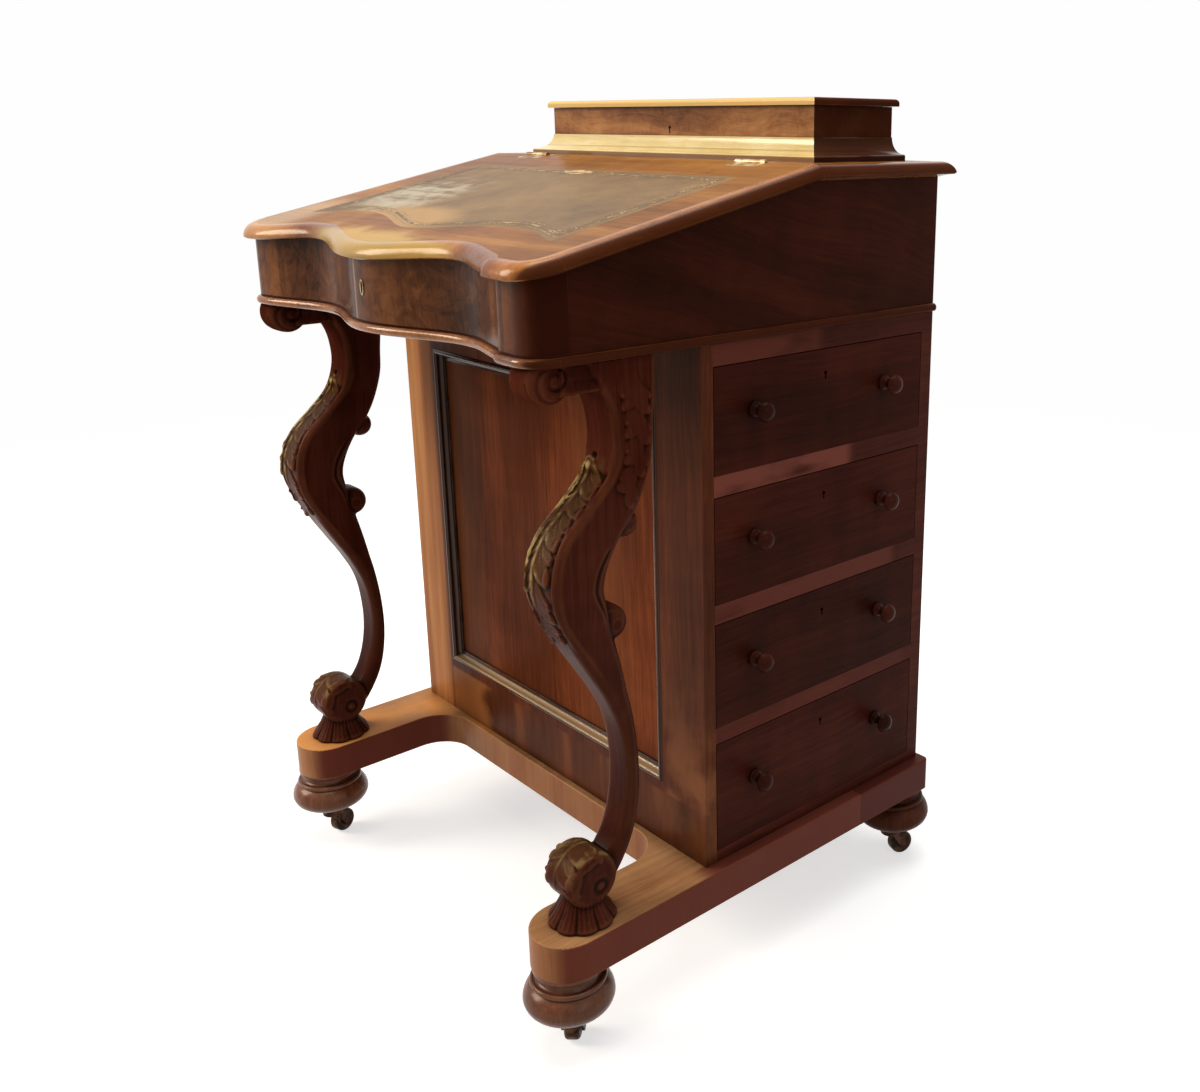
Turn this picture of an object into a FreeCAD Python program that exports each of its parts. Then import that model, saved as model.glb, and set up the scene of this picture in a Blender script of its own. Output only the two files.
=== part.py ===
"""Davenport writing desk: a carcass of side drawers on a U-shaped platform, with a sloping
serpentine writing box carried out over two carved scroll legs, and a stationery box on top.

Millimetres, +Z up. The writer sits at -Y and the drawers open towards +X.
The origin is on the floor, in the middle of the desk's width and depth. Sizes along Y are
given from a working line a little ahead of that middle, and centring moves each piece back to it.
"""
import FreeCAD, Part
import math
import os

V = FreeCAD.Vector
X_AXIS, Y_AXIS, Z_AXIS = V(1, 0, 0), V(0, 1, 0), V(0, 0, 1)
CORNERS = {"fl": (-1, -1), "fr": (1, -1), "rl": (-1, 1), "rr": (1, 1)}

# ---- Main sizes of the desk ----
outside = 1000.0               # beyond every piece, for trimming blocks
half_width = 255.0             # middle of the desk to the outside of the carcass and writing box
carcass_front = -69.0
carcass_rear = 236.0
foot_height = 89.0             # floor to the underside of the platform
carcass_height = 492.0
hinge_y = 64.0                 # line where the writing lid meets the shelf
shelf_top = 761.0              # height of the shelf above the floor
slope = 12.5                   # fall of the writing lid, in degrees
panel_gap = 0.3                # clearance between a closed lid and what it rests on
touch = 0.05                   # radial clearance of a running pin

# ---- Platform ----
platform_thickness = 35.0
platform_overhang = 13.0       # beyond the carcass at each side
platform_back_overhang = 7.0
platform_front_overhang = 7.0  # between the two arms
platform_reach = 243.0         # nose of the arms, forward of the origin
arm_width = 68.0
arm_fillet = 38.0              # hollow corner where an arm leaves the platform
platform_corner = 6.0
platform_edge = 1.5

# ---- Bun feet and castors ----
front_foot_inset = 31.5        # foot centre from the noses of the platform's arms
rear_foot_inset = 21.0
foot_side_inset = 33.0
bun_bottom = 45.0              # floor to the underside of the bun
bun_radius = 40.5
bulge_height = 12.5            # widest part of the bun above its underside
neck_radius = 27.0
ring_radius = 34.0
wheel_radius = 13.0
wheel_width = 14.0
wheel_edge = 3.5
castor_trail = 12.0
castor_headings = {"fl": 20.0, "fr": 45.0, "rl": -30.0, "rr": -18.0}  # degrees from +Y
axle_radius = 2.5
horn_thickness = 2.4
horn_gap = 1.1                 # wheel to horn
horn_overlap = 5.5             # horn metal around the axle
crown_radius = 11.5
crown_thickness = 2.5
crown_gap = 1.5                # top of the wheel to the crown
cup_gap = 0.4                  # crown to the socket's cup
cup_radius = 11.5
plate_thickness = 2.5
plate_radius = 17.0
stem_radius = 4.0
socket_wall = 3.0
socket_depth = 25.0
socket_seam = 0.1              # socket's sleeve to the wood
stem_end_gap = 2.0

# ---- Carcass ----
frame_thickness = 13.5         # front frame of stiles and rails
stile_width = 62.0
top_rail_height = 60.0
bottom_rail_height = 64.0
panel_thickness = 5.5
moulding_width = 12.0
moulding_proud = 2.0
post_depth = 16.0              # rear corner posts, along Y
post_width = 40.0
back_thickness = 8.0
bottom_board = 12.0
top_board = 19.0
rail_thicknesses = (16.0, 18.0, 19.0)          # boards between the drawers, from the lowest
drawer_openings = (110.0, 101.3, 100.0, 96.7)  # heights between boards, from the lowest
false_front_thickness = 20.0

# ---- Drawers ----
front_thickness = 20.0
side_thickness = 9.0
drawer_back_thickness = 8.0
drawer_floor_thickness = 5.0
drawer_floor_raise = 7.0       # bottom edge of the sides to the drawer's floor
side_gap = 0.8
top_gap = 1.0
run_gap = 0.3
side_drop = 7.0                # top of the front to the top of the sides
back_drop = 12.0
knob_spacing = 171.0
knob_shift = -4.5              # knob pair, forward of the drawer's middle
knob_rise = 5.0
knob_radius = 10.0
knob_length = 22.0
knob_ring = 6.5
knob_neck = 3.8
peg_radius = 4.0
peg_length = 14.0
keyhole_radius = 1.9
keyhole_slot = 1.8
keyhole_drop = 6.0
drawer_lock_depth = 23.0       # keyhole below the drawer's top edge

# ---- Writing box ----
corner_radius = 22.0
hollow_x = 127.0               # deepest part of each hollow of the serpentine front
hollow_y = -208.5
bow_depth = 28.5               # middle bow forward of the hollows
crest_depth = 23.5             # corners forward of the hollows
wall = 12.0
floor_thickness = 10.0
bead_height = 8.0
bead_depth = 4.5
lid_thickness = 14.0
board_inset = 3.0              # edge of lid and shelf boards inside the box's face
board_seam = 0.1               # lid board to its moulding
moulding_rebate = 1.0          # wood taken off the lid moulding's inside to fit the board's line
moulding_reach = 13.0          # lid moulding beyond the box's face
moulding_drop = 10.0           # top face to the tip of the moulding
moulding_lip = 1.5
leather_half = 212.0
leather_rear = -52.0           # from the hinge line
leather_border = 46.0          # box's face to the leather, at the front
leather_thickness = 1.2
lock_rise = 39.0               # foot of the box's front to the keyhole
escutcheon_height = 14.0
escutcheon_width = 6.0
escutcheon_rim = 1.3
escutcheon_thickness = 0.8

# ---- Stationery box ----
stationery_half = 208.0
stationery_front = 111.0
stationery_rear = 220.0
stationery_wall = 8.0
stationery_height = 51.0       # shelf to the underside of the lid
stationery_lid_thickness = 7.0
stationery_overhang = 5.0
cove_height = 22.0
plinth_height = 5.0
cove_reach = 18.5
stationery_keyhole = 30.0      # above the shelf

# ---- Hinges ----
leaf_thickness = 1.0
hinge_length = 40.0
hinge_x = 174.0                # middle of each hinge of the writing lid
lid_leaf_width = 15.0
knuckle_radius = 2.6
pin_radius = 1.3
knuckle_gap = 0.3
barrel_gap = 0.4               # small barrels to the box's back and lid
small_hinge_x = 130.0
small_leaf_width = 12.0

# ---- Scroll legs ----
leg_x = 234.0
leg_width = 44.0
shank_width = 32.0
volute_radius = 20.0
volute_width = 38.0
toe_radius = 27.0
toe_width = 42.0
eye_radius = 7.5
eye_proud = 2.5
band_proud = 1.5
band_width = 5.0
scroll_knob_width = 42.0
leaf_lobes = 11

# ---- Worked out from the sizes above ----
platform_top = foot_height + platform_thickness
carcass_top = platform_top + carcass_height
platform_half = half_width + platform_overhang
platform_rear = carcass_rear + platform_back_overhang
frame_back = carcass_front + frame_thickness
posts_front = carcass_rear - post_depth
stile_inside = half_width - stile_width
crest_x = half_width - corner_radius
crest_y = hollow_y - crest_depth
corner_y = crest_y + corner_radius
side_start = corner_y + wall    # where the box's front meets its sides
box_floor_top = carcass_top + floor_thickness
shelf_bottom = shelf_top - lid_thickness
stretch = 1 / math.cos(math.radians(slope))
arm_middle = platform_half - arm_width / 2
foot_x = platform_half - foot_side_inset
foot_y = {-1: front_foot_inset - platform_reach, 1: platform_rear - rear_foot_inset}
centring = V(0, -(foot_y[1] + foot_y[-1]) / 2, 0)
axle_z = wheel_radius
crown_bottom = 2 * wheel_radius + crown_gap
crown_top = crown_bottom + crown_thickness
cup_bottom = crown_top + cup_gap
box_lock_height = carcass_top + lock_rise
stationery_top = shelf_top + stationery_height
small_pin_y = stationery_rear + knuckle_radius + barrel_gap
small_pin_z = stationery_top - knuckle_radius - barrel_gap


def block(x0, x1, y0, y1, z0, z1):
    """A box between three pairs of coordinates."""
    return Part.makeBox(x1 - x0, y1 - y0, z1 - z0, V(x0, y0, z0))


def rod(radius, start, axis, length):
    return Part.makeCylinder(radius, length, start, axis)


def mirrored(shape):
    """The same piece on the other side of the desk."""
    return shape.mirror(V(0, 0, 0), X_AXIS)


def pair(shape):
    return [shape, mirrored(shape)]


def polygon(points):
    return Part.makePolygon(list(points) + [points[0]])


def prism(points, direction):
    return Part.Face(polygon(points)).extrude(direction)


def arc(start, middle, end):
    return Part.Arc(start, middle, end).toShape()


def line(start, end):
    return Part.LineSegment(start, end).toShape()


def curve(points, **tangents):
    """A smooth line through the points."""
    spline = Part.BSplineCurve()
    spline.interpolate(Points=points, **tangents)
    return spline.toShape()


def turned(edges, centre, axis):
    """A solid of revolution from a half profile whose two ends lie on the axis."""
    wire = Part.Wire(edges)
    ends = [wire.OrderedVertexes[0].Point, wire.OrderedVertexes[-1].Point]
    face = Part.Face(Part.Wire(wire.Edges + [line(ends[1], ends[0])]))
    return face.revolve(centre, axis, 360)


# ---- The serpentine front ----

def front_line(x):
    """Plan of the writing box's face: a middle bow, two hollows and two forward corners."""
    x = abs(x)
    if x <= hollow_x:
        return hollow_y - bow_depth * (1 + math.cos(math.pi * x / hollow_x)) / 2
    share = min(1.0, (x - hollow_x) / (crest_x - hollow_x))
    return hollow_y - crest_depth * (1 - math.cos(math.pi * share)) / 2


def front_rise(x):
    """Slope of the front in plan."""
    if abs(x) <= hollow_x:
        return bow_depth * math.pi / (2 * hollow_x) * math.sin(math.pi * x / hollow_x)
    span = crest_x - hollow_x
    share = min(1.0, (abs(x) - hollow_x) / span)
    return -math.copysign(crest_depth * math.pi / (2 * span) * math.sin(math.pi * share), x)


def front_point(x, offset, origin_y=0.0, scale=1.0, z=0.0):
    """A point of the front, moved out by offset. The lid's own plane is longer by scale."""
    rise = front_rise(x)
    size = math.hypot(rise, 1)
    y = (front_line(x) - origin_y) * scale
    return V(x + offset * rise / size, y - offset / size, z)


def front_edges(offset, origin_y=0.0, scale=1.0, z=0.0, reach=None, corners=True):
    """The front from left to right, with its rounded corners."""
    reach = reach or crest_x
    count = 16
    xs = [reach * (2 * i / count - 1) for i in range(count + 1)]
    points = [front_point(x, offset, origin_y, scale, z) for x in xs]
    if not corners:
        return [curve(points)]
    middle = curve(points, InitialTangent=X_AXIS, FinalTangent=X_AXIS)
    radius = corner_radius + offset
    centre_y = points[0].y + radius
    diagonal = radius * math.sqrt(0.5)

    def rounded(side):
        side_point = V(side * (crest_x + radius), centre_y, z)
        bend = V(side * (crest_x + diagonal), centre_y - diagonal, z)
        crest = V(side * crest_x, centre_y - radius, z)
        return (side_point, bend, crest) if side < 0 else (crest, bend, side_point)

    return [arc(*rounded(-1)), middle, arc(*rounded(1))]


def closed_behind(edges, rear):
    """A face from an open front line and a straight rear edge."""
    wire = Part.Wire(edges)
    left = wire.OrderedVertexes[0].Point
    right = wire.OrderedVertexes[-1].Point
    rear_left = V(left.x, rear, left.z)
    rear_right = V(right.x, rear, right.z)
    back = [line(right, rear_right), line(rear_right, rear_left), line(rear_left, left)]
    return Part.Face(Part.Wire(wire.Edges + back))


def swept(path_edges, profile):
    """A moulding run along a level path, kept upright."""
    shell = Part.BRepOffsetAPI.MakePipeShell(Part.Wire(path_edges))
    shell.setBiNormalMode(Z_AXIS)
    shell.add(profile, False, False)
    shell.build()
    shell.makeSolid()
    return shell.shape()


def tilted(shape):
    """Moves a piece from the lid's own plane, hinge line at the origin, to the closed lid."""
    moved = shape.copy()
    moved.rotate(V(0, 0, 0), X_AXIS, slope)
    moved.translate(V(0, hinge_y, shelf_top))
    behind = block(-outside, outside, hinge_y - panel_gap, outside, 0, outside)
    return moved.cut(behind)


# ---- Platform, feet and castors ----

def platform():
    nose_y = -platform_reach + arm_width / 2
    inner = platform_half - arm_width
    front = carcass_front - platform_front_overhang
    z = foot_height
    turn = arm_fillet * (1 - math.sqrt(0.5))
    edges = []
    for side in (-1, 1):
        out, into, mid = side * platform_half, side * inner, side * arm_middle
        nose = arc(V(out, nose_y, z), V(mid, -platform_reach, z), V(into, nose_y, z))
        hollow_start = V(into, front - arm_fillet, z)
        hollow_end = V(into - side * arm_fillet, front, z)
        hollow_mid = V(into - side * turn, front - turn, z)
        edges += [line(V(out, platform_rear, z), V(out, nose_y, z)), nose]
        edges += [line(V(into, nose_y, z), hollow_start), arc(hollow_start, hollow_mid, hollow_end)]
    inside = inner - arm_fillet
    edges.append(line(V(-inside, front, z), V(inside, front, z)))
    edges.append(line(V(-platform_half, platform_rear, z), V(platform_half, platform_rear, z)))
    outline = Part.Wire(Part.__sortEdges__(edges))
    solid = Part.Face(outline).extrude(V(0, 0, platform_thickness))
    rear_corners = [e for e in solid.Edges if is_upright(e) and e.BoundBox.YMin > platform_rear - 1]
    solid = solid.makeFillet(platform_corner, rear_corners)
    top = [e for e in solid.Edges if e.BoundBox.ZMin > platform_top - 0.01]
    return solid.makeFillet(platform_edge, top)


def is_upright(edge):
    size = edge.BoundBox
    return size.ZLength > 1 and size.XLength < 0.01 and size.YLength < 0.01


def bun_foot(centre):
    """A squat turned bun under a hollowed neck, bored from below for the castor's socket."""
    def at(radius, z):
        return V(radius, 0, z)
    cap = foot_height - 3
    hollow_bottom = foot_height - 12
    groove = foot_height - 17
    bulge_z = bun_bottom + bulge_height
    edges = [
        line(at(0, foot_height), at(31.5, foot_height)),
        line(at(31.5, foot_height), at(31.5, cap)),
        arc(at(31.5, cap), at(neck_radius, cap - 4.5), at(30.5, hollow_bottom)),
        arc(at(30.5, hollow_bottom), at(ring_radius, hollow_bottom - 2.5), at(32.5, groove)),
        arc(at(32.5, groove), at(bun_radius - 1.6, bulge_z + 7), at(bun_radius, bulge_z)),
        arc(at(bun_radius, bulge_z), at(bun_radius - 3.8, bun_bottom + 4), at(27, bun_bottom)),
        line(at(27, bun_bottom), at(0, bun_bottom)),
    ]
    bun = turned(edges, V(0, 0, 0), Z_AXIS)
    hole = stem_radius + touch + socket_wall + socket_seam
    bun = bun.cut(rod(hole, V(0, 0, bun_bottom), Z_AXIS, socket_depth))
    bun.translate(centre)
    return bun


def castor_socket(centre):
    """Plate and tapered cup under the foot, with the sleeve that the stem turns in."""
    bore_radius = stem_radius + touch
    sleeve_radius = bore_radius + socket_wall
    plate_bottom = bun_bottom - plate_thickness
    sleeve_top = bun_bottom + socket_depth
    outline = [(bore_radius, sleeve_top), (sleeve_radius, sleeve_top), (sleeve_radius, bun_bottom),
               (plate_radius, bun_bottom), (plate_radius, plate_bottom), (plate_radius - 3, plate_bottom),
               (cup_radius, cup_bottom), (bore_radius, cup_bottom)]
    face = Part.Face(polygon([V(radius, 0, z) for radius, z in outline]))
    socket = face.revolve(V(0, 0, 0), Z_AXIS, 360)
    socket.translate(centre)
    return socket


def trailing(shape, centre, heading):
    """Turns a castor piece to its heading and moves it under its foot."""
    shape.rotate(V(0, 0, 0), Z_AXIS, heading)
    shape.translate(centre)
    return shape


def castor_fork():
    """Stem, crown and two horns that reach down to the trailing axle."""
    stem_top = bun_bottom + socket_depth - stem_end_gap
    fork = rod(crown_radius, V(0, 0, crown_bottom), Z_AXIS, crown_thickness)
    fork = fork.fuse(rod(stem_radius, V(0, 0, crown_bottom), Z_AXIS, stem_top - crown_bottom))
    inside = wheel_width / 2 + horn_gap
    for side in (-1, 1):
        face_x = side * inside
        shape = [
            line(V(face_x, -4, crown_top), V(face_x, 8, crown_top)),
            line(V(face_x, 8, crown_top), V(face_x, castor_trail + horn_overlap, axle_z)),
            arc(V(face_x, castor_trail + horn_overlap, axle_z),
                V(face_x, castor_trail, axle_z - horn_overlap),
                V(face_x, castor_trail - horn_overlap, axle_z)),
            line(V(face_x, castor_trail - horn_overlap, axle_z), V(face_x, -4, crown_top)),
        ]
        horn = Part.Face(Part.Wire(shape)).extrude(V(side * horn_thickness, 0, 0))
        fork = fork.fuse(horn)
    return fork.cut(axle_rod(0)).removeSplitter()


def axle_rod(clearance):
    half = wheel_width / 2 + horn_gap + horn_thickness
    start = V(-half, castor_trail, axle_z)
    return rod(axle_radius + clearance, start, X_AXIS, 2 * half)


def castor_wheel():
    start = V(-wheel_width / 2, castor_trail, axle_z)
    wheel = rod(wheel_radius, start, X_AXIS, wheel_width)
    wheel = wheel.makeFillet(wheel_edge, [e for e in wheel.Edges if len(e.Vertexes) == 1])
    return wheel.cut(axle_rod(touch))


# ---- Scroll legs ----

# Stations down the leg, each with the front and back of its section as (y, z),
# then the section's width and the rounding of its arrises.
def leg_stations():
    top = carcass_top
    foot = platform_top
    full = leg_width
    slim = shank_width
    return [
        ((-186, top), (-117, top), full, 4),
        ((-165, top - 32), (-117, top - 31), full, 4),
        ((-159, top - 56), (-119, top - 58), full, 4),
        ((-160, top - 77), (-121, top - 82), full, 4),
        ((-169, top - 99), (-129, top - 107), full, 4),
        ((-186, top - 117), (-141, top - 129), full + 1, 5),
        ((-210, top - 139), (-157, top - 149), full + 2, 5),
        ((-222, top - 161), (-168, top - 169), full + 2, 5),
        ((-224, top - 184), (-172, top - 186), full + 2, 5),
        ((-218, top - 205), (-169.5, top - 203), full + 1, 6),
        ((-205, top - 231), (-165, top - 221), full - 2, 7),
        ((-185, top - 264), (-158, top - 244), full - 6, 8),
        ((-170, foot + 203), (-151, foot + 221), slim + 4, 8),
        ((-157, foot + 174), (-143, foot + 185), slim + 1, 9),
        ((-151.5, foot + 141), (-138, foot + 144), slim, 9),
        ((-152, foot + 111), (-138, foot + 106), slim, 9),
        ((-159, foot + 82), (-144, foot + 72), slim, 8),
        ((-171, foot + 60), (-157, foot + 46), slim + 1, 8),
        ((-203, foot + 24), (-177, foot + 20), slim + 2, 8),
    ]


def leg_section(front, back, width, rounding):
    """A rounded rectangle standing across the leg, from its front to its back."""
    a, b = V(0, *front), V(0, *back)
    along = (b - a).normalize()
    middle = (a + b) * 0.5
    half_depth = (b - a).Length / 2
    bend = rounding * (1 - math.sqrt(0.5))

    def at(u, v):
        return middle + X_AXIS * u + along * v
    w, d, r = width / 2, half_depth, rounding
    edges = []
    for su, sv, first in ((1, -1, False), (1, 1, True), (-1, 1, False), (-1, -1, True)):
        ends = [at(su * (w - r), sv * d), at(su * w, sv * (d - r))]
        if first:
            ends.reverse()
        edges.append(arc(ends[0], at(su * (w - bend), sv * (d - bend)), ends[1]))
    sides = [line(edges[i].Vertexes[1].Point, edges[(i + 1) % 4].Vertexes[0].Point) for i in range(4)]
    return Part.Wire([e for pair_ in zip(edges, sides) for e in pair_])


def drum(y, z, radius, width, rounding):
    """A scroll end: a short cylinder across the leg with softened rims."""
    body = rod(radius, V(-width / 2, y, z), X_AXIS, width)
    return body.makeFillet(rounding, [e for e in body.Edges if len(e.Vertexes) == 1])


def spiral_band(y, z, radius, start_angle, turns):
    """A raised ribbon that winds in to the eye, on the +X face of a scroll."""
    steps = 20
    outer, inner = [], []
    for i in range(steps + 1):
        share = i / steps
        angle = math.radians(start_angle) + share * turns * 2 * math.pi
        reach = radius + (eye_radius + band_width - radius) * share
        thickness = band_width * (1 - 0.45 * share)
        for points, r in ((outer, reach), (inner, reach - thickness)):
            points.append(V(0, y + r * math.cos(angle), z + r * math.sin(angle)))
    edges = [curve(outer), line(outer[-1], inner[-1]), curve(inner), line(inner[0], outer[0])]
    face = Part.Face(Part.Wire(Part.__sortEdges__(edges)))
    return face.extrude(V(band_proud, 0, 0))


def leaf_foot(y):
    """Carved leaf that spreads from the ankle on to the platform, lobed round its hem."""
    def ring(half_x, half_y, z, lobe):
        points = []
        count = 4 * leaf_lobes
        for i in range(count):
            angle = 2 * math.pi * i / count
            scale = 1 + lobe * math.cos(leaf_lobes * angle)
            points.append(V(half_x * scale * math.cos(angle), y + half_y * scale * math.sin(angle), z))
        spline = Part.BSplineCurve()
        spline.interpolate(Points=points, PeriodicFlag=True)
        return Part.Wire(spline.toShape())
    foot = platform_top
    rings = [ring(18, 16, foot + 27, 0.02), ring(20, 20, foot + 17, 0.04),
             ring(28, 29, foot + 4, 0.07), ring(29, 30, foot, 0.06)]
    return Part.makeLoft(rings, True, False)


def scroll_leg():
    """One leg, standing on the middle plane: neck, knee, shank, toe scroll and leaf foot."""
    top, foot = carcass_top, platform_top
    leg = Part.makeLoft([leg_section(*station) for station in leg_stations()], True, False)
    volute_y, volute_z = -212.5, top - 10.5
    toe_y, toe_z = -192, foot + 43
    toe_eye_y, toe_eye_z = -188, foot + 38
    half_block = volute_width / 2
    pieces = [
        drum(volute_y, volute_z, volute_radius, volute_width, 2),
        block(-half_block, half_block, volute_y, -150, top - 15, top),
        drum(-146, top - 138, 12.5, scroll_knob_width, 5),
        drum(-161, top - 222, 15, scroll_knob_width, 6),
        drum(toe_y, toe_z, toe_radius, toe_width, 2),
        leaf_foot(-194),
    ]
    eyes = [(volute_y, volute_z, volute_width), (toe_eye_y, toe_eye_z, toe_width)]
    for y, z, width in eyes:
        eye_width = width + 2 * eye_proud
        pieces.append(rod(eye_radius, V(-eye_width / 2, y, z), X_AXIS, eye_width))
    bands = [spiral_band(volute_y, volute_z, volute_radius - 2.5, 215, 0.8),
             spiral_band(toe_eye_y, toe_eye_z, toe_radius - 9, 20, 1.0)]
    for band, width in zip(bands, (volute_width, toe_width)):
        band.translate(V(width / 2, 0, 0))
        pieces += pair(band)
    leg = leg.fuse(pieces)
    return leg.cut(block(-60, 60, -400, 0, top, top + 60))


# ---- Carcass ----

def drawer_levels():
    """Lower and upper height of each drawer opening, from the lowest."""
    levels = []
    z = platform_top + bottom_board
    for height, board in zip(drawer_openings, rail_thicknesses + (top_board,)):
        levels.append((z, z + height))
        z += height + board
    return levels


def carcass_boards():
    """Boards right across the carcass, whose edges are the rails between the drawers."""
    levels = drawer_levels()
    edges = [platform_top] + [z for level in levels for z in level] + [carcass_top]
    return [block(-half_width, half_width, frame_back, posts_front, low, high)
            for low, high in zip(edges[0::2], edges[1::2])]


def front_stiles():
    return pair(block(stile_inside, half_width, carcass_front, frame_back, platform_top, carcass_top))


def front_rails():
    low = block(-stile_inside, stile_inside, carcass_front, frame_back,
                platform_top, platform_top + bottom_rail_height)
    high = block(-stile_inside, stile_inside, carcass_front, frame_back,
                 carcass_top - top_rail_height, carcass_top)
    return [low, high]


def panel_opening():
    return (-stile_inside, stile_inside,
            platform_top + bottom_rail_height, carcass_top - top_rail_height)


def front_panel():
    x0, x1, z0, z1 = panel_opening()
    return block(x0, x1, frame_back - panel_thickness, frame_back, z0, z1)


def panel_moulding():
    """Four mitred strips round the sunk panel, a bead and a hollow falling to the panel."""
    x0, x1, z0, z1 = panel_opening()
    back = frame_back - panel_thickness
    proud = carcass_front - moulding_proud
    corners = [V(x0, 0, z0), V(x1, 0, z0), V(x1, 0, z1), V(x0, 0, z1)]
    middle = V((x0 + x1) / 2, 0, (z0 + z1) / 2)
    strips = []
    for i in range(4):
        start, end = corners[i], corners[(i + 1) % 4]
        along = (end - start).normalize()
        inward = V(-along.z, 0, along.x)
        if inward.dot(middle - start) < 0:
            inward = inward * -1

        def at(u, y):
            return start + inward * u + V(0, y, 0)
        bead = moulding_width * 0.45
        edges = [
            arc(at(0, carcass_front), at(bead / 2, proud), at(bead, carcass_front)),
            line(at(bead, carcass_front), at(bead, carcass_front + 2)),
            arc(at(bead, carcass_front + 2), at(bead * 1.3, back - 2.8), at(moulding_width - 2, back - 2)),
            line(at(moulding_width - 2, back - 2), at(moulding_width, back - 2)),
            line(at(moulding_width, back - 2), at(moulding_width, back)),
            line(at(moulding_width, back), at(0, back)),
            line(at(0, back), at(0, carcass_front)),
        ]
        strip = Part.Face(Part.Wire(edges)).extrude(end - start)
        ahead = V(0, proud - 1, 0)
        mitre = [start + ahead, end + ahead,
                 end + (inward - along) * moulding_width + ahead,
                 start + (inward + along) * moulding_width + ahead]
        strips.append(strip.common(prism(mitre, V(0, back - proud + 2, 0))))
    return strips


def rear_posts():
    inside = half_width - post_width
    return pair(block(inside, half_width, posts_front, carcass_rear, platform_top, carcass_top))


def back_panel():
    inside = half_width - post_width
    return block(-inside, inside, posts_front, posts_front + back_thickness, platform_top, carcass_top)


def keyhole(point, axis, depth):
    """A round eye with a slot below it, to be cut along axis."""
    across = Z_AXIS.cross(axis)
    hole = rod(keyhole_radius, point, axis, depth)
    half = across * (keyhole_slot / 2)
    foot = V(0, 0, -keyhole_drop)
    slot = prism([point - half, point + half, point + half + foot, point - half + foot], axis * depth)
    return hole.fuse(slot)


def knob(point, side):
    """A turned mushroom knob on the side of the desk, with the peg that holds it."""
    def at(x, radius):
        return V(x, radius, 0)
    head = knob_length - 10
    edges = [
        line(at(-peg_length, 0), at(-peg_length, peg_radius)),
        line(at(-peg_length, peg_radius), at(0, peg_radius)),
        line(at(0, peg_radius), at(0, knob_ring)),
        arc(at(0, knob_ring), at(1.8, knob_ring + 0.9), at(3.6, knob_ring - 0.5)),
        arc(at(3.6, knob_ring - 0.5), at(6.5, knob_neck), at(head - 2, knob_neck + 0.8)),
        arc(at(head - 2, knob_neck + 0.8), at(head + 1, knob_radius - 1.5), at(head + 3, knob_radius)),
        curve([at(head + 3, knob_radius), at(knob_length - 2, knob_radius * 0.65), at(knob_length, 0)]),
    ]
    shape = turned(edges, V(0, 0, 0), X_AXIS)
    shape = shape if side > 0 else mirrored(shape)
    shape.translate(point)
    return shape


def knob_points(low, high, side):
    middle = (frame_back + posts_front) / 2 + knob_shift
    z = (low + high) / 2 + knob_rise
    return [V(side * half_width, middle + s * knob_spacing / 2, z) for s in (-1, 1)]


def peg_holes(points, side):
    return [rod(peg_radius, p - X_AXIS * side * peg_length, X_AXIS * side, peg_length) for p in points]


def drawer_keyhole(high, side):
    middle = (frame_back + posts_front) / 2
    point = V(side * (half_width + 1), middle, high - drawer_lock_depth)
    return keyhole(point, X_AXIS * -side, front_thickness + 2)


def false_fronts():
    """The left side repeats the drawer fronts, fixed between the boards."""
    fronts = []
    for low, high in drawer_levels():
        front = block(-half_width, false_front_thickness - half_width,
                      frame_back + side_gap, posts_front - side_gap, low, high - top_gap)
        holes = peg_holes(knob_points(low, high, -1), -1)
        fronts.append(front.cut(holes + [drawer_keyhole(high, -1)]))
    return fronts


def false_front_knobs():
    return [knob(p, -1) for low, high in drawer_levels() for p in knob_points(low, high, -1)]


# ---- Drawers ----

def drawer_parts(low, high):
    """Front, sides with back, floor and knobs of the drawer in one opening."""
    y0, y1 = frame_back + side_gap, posts_front - side_gap
    bottom, top = low + run_gap, high - top_gap
    inner_x = half_width - front_thickness
    rear_x = false_front_thickness - half_width + 2 * run_gap
    back_x = rear_x + drawer_back_thickness
    points = knob_points(low, high, 1)
    front = block(inner_x, half_width, y0, y1, bottom, top)
    front = front.cut(peg_holes(points, 1) + [drawer_keyhole(high, 1)])
    side_top = top - side_drop
    sides = [block(rear_x, inner_x, y, y + side_thickness, bottom, side_top)
             for y in (y0, y1 - side_thickness)]
    inside0, inside1 = y0 + side_thickness, y1 - side_thickness
    floor_z = bottom + drawer_floor_raise
    back = block(rear_x, back_x, inside0, inside1, bottom, top - back_drop)
    floor = block(back_x, inner_x, inside0, inside1, floor_z, floor_z + drawer_floor_thickness)
    return {"front": front, "sides": sides + [back], "floor": floor,
            "knobs": [knob(p, 1) for p in points]}


# ---- Writing box ----

def above_box():
    """Everything over the writing box's walls: the lid's underside and the shelf's."""
    sloping = block(-outside, outside, -outside, outside / 2, -lid_thickness - panel_gap, outside)
    sloping.rotate(V(0, 0, 0), X_AXIS, slope)
    sloping.translate(V(0, hinge_y, shelf_top))
    level = block(-outside, outside, hinge_y, outside, shelf_bottom, outside)
    return sloping.fuse(level)


def box_floor():
    face = closed_behind(front_edges(0, z=carcass_top), carcass_rear)
    return face.extrude(V(0, 0, floor_thickness))


def box_front():
    outer = closed_behind(front_edges(0, z=box_floor_top), side_start)
    inner = closed_behind(front_edges(-wall, z=box_floor_top), side_start + 1)
    height = V(0, 0, shelf_top - box_floor_top)
    front = outer.extrude(height).cut(inner.extrude(height)).cut(above_box())
    return front.cut(keyhole(V(0, hollow_y - bow_depth - 5, box_lock_height + 2), Y_AXIS, 30))


def box_sides():
    side = block(half_width - wall, half_width, side_start, carcass_rear, box_floor_top, shelf_top)
    return pair(side.cut(above_box()))


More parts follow.
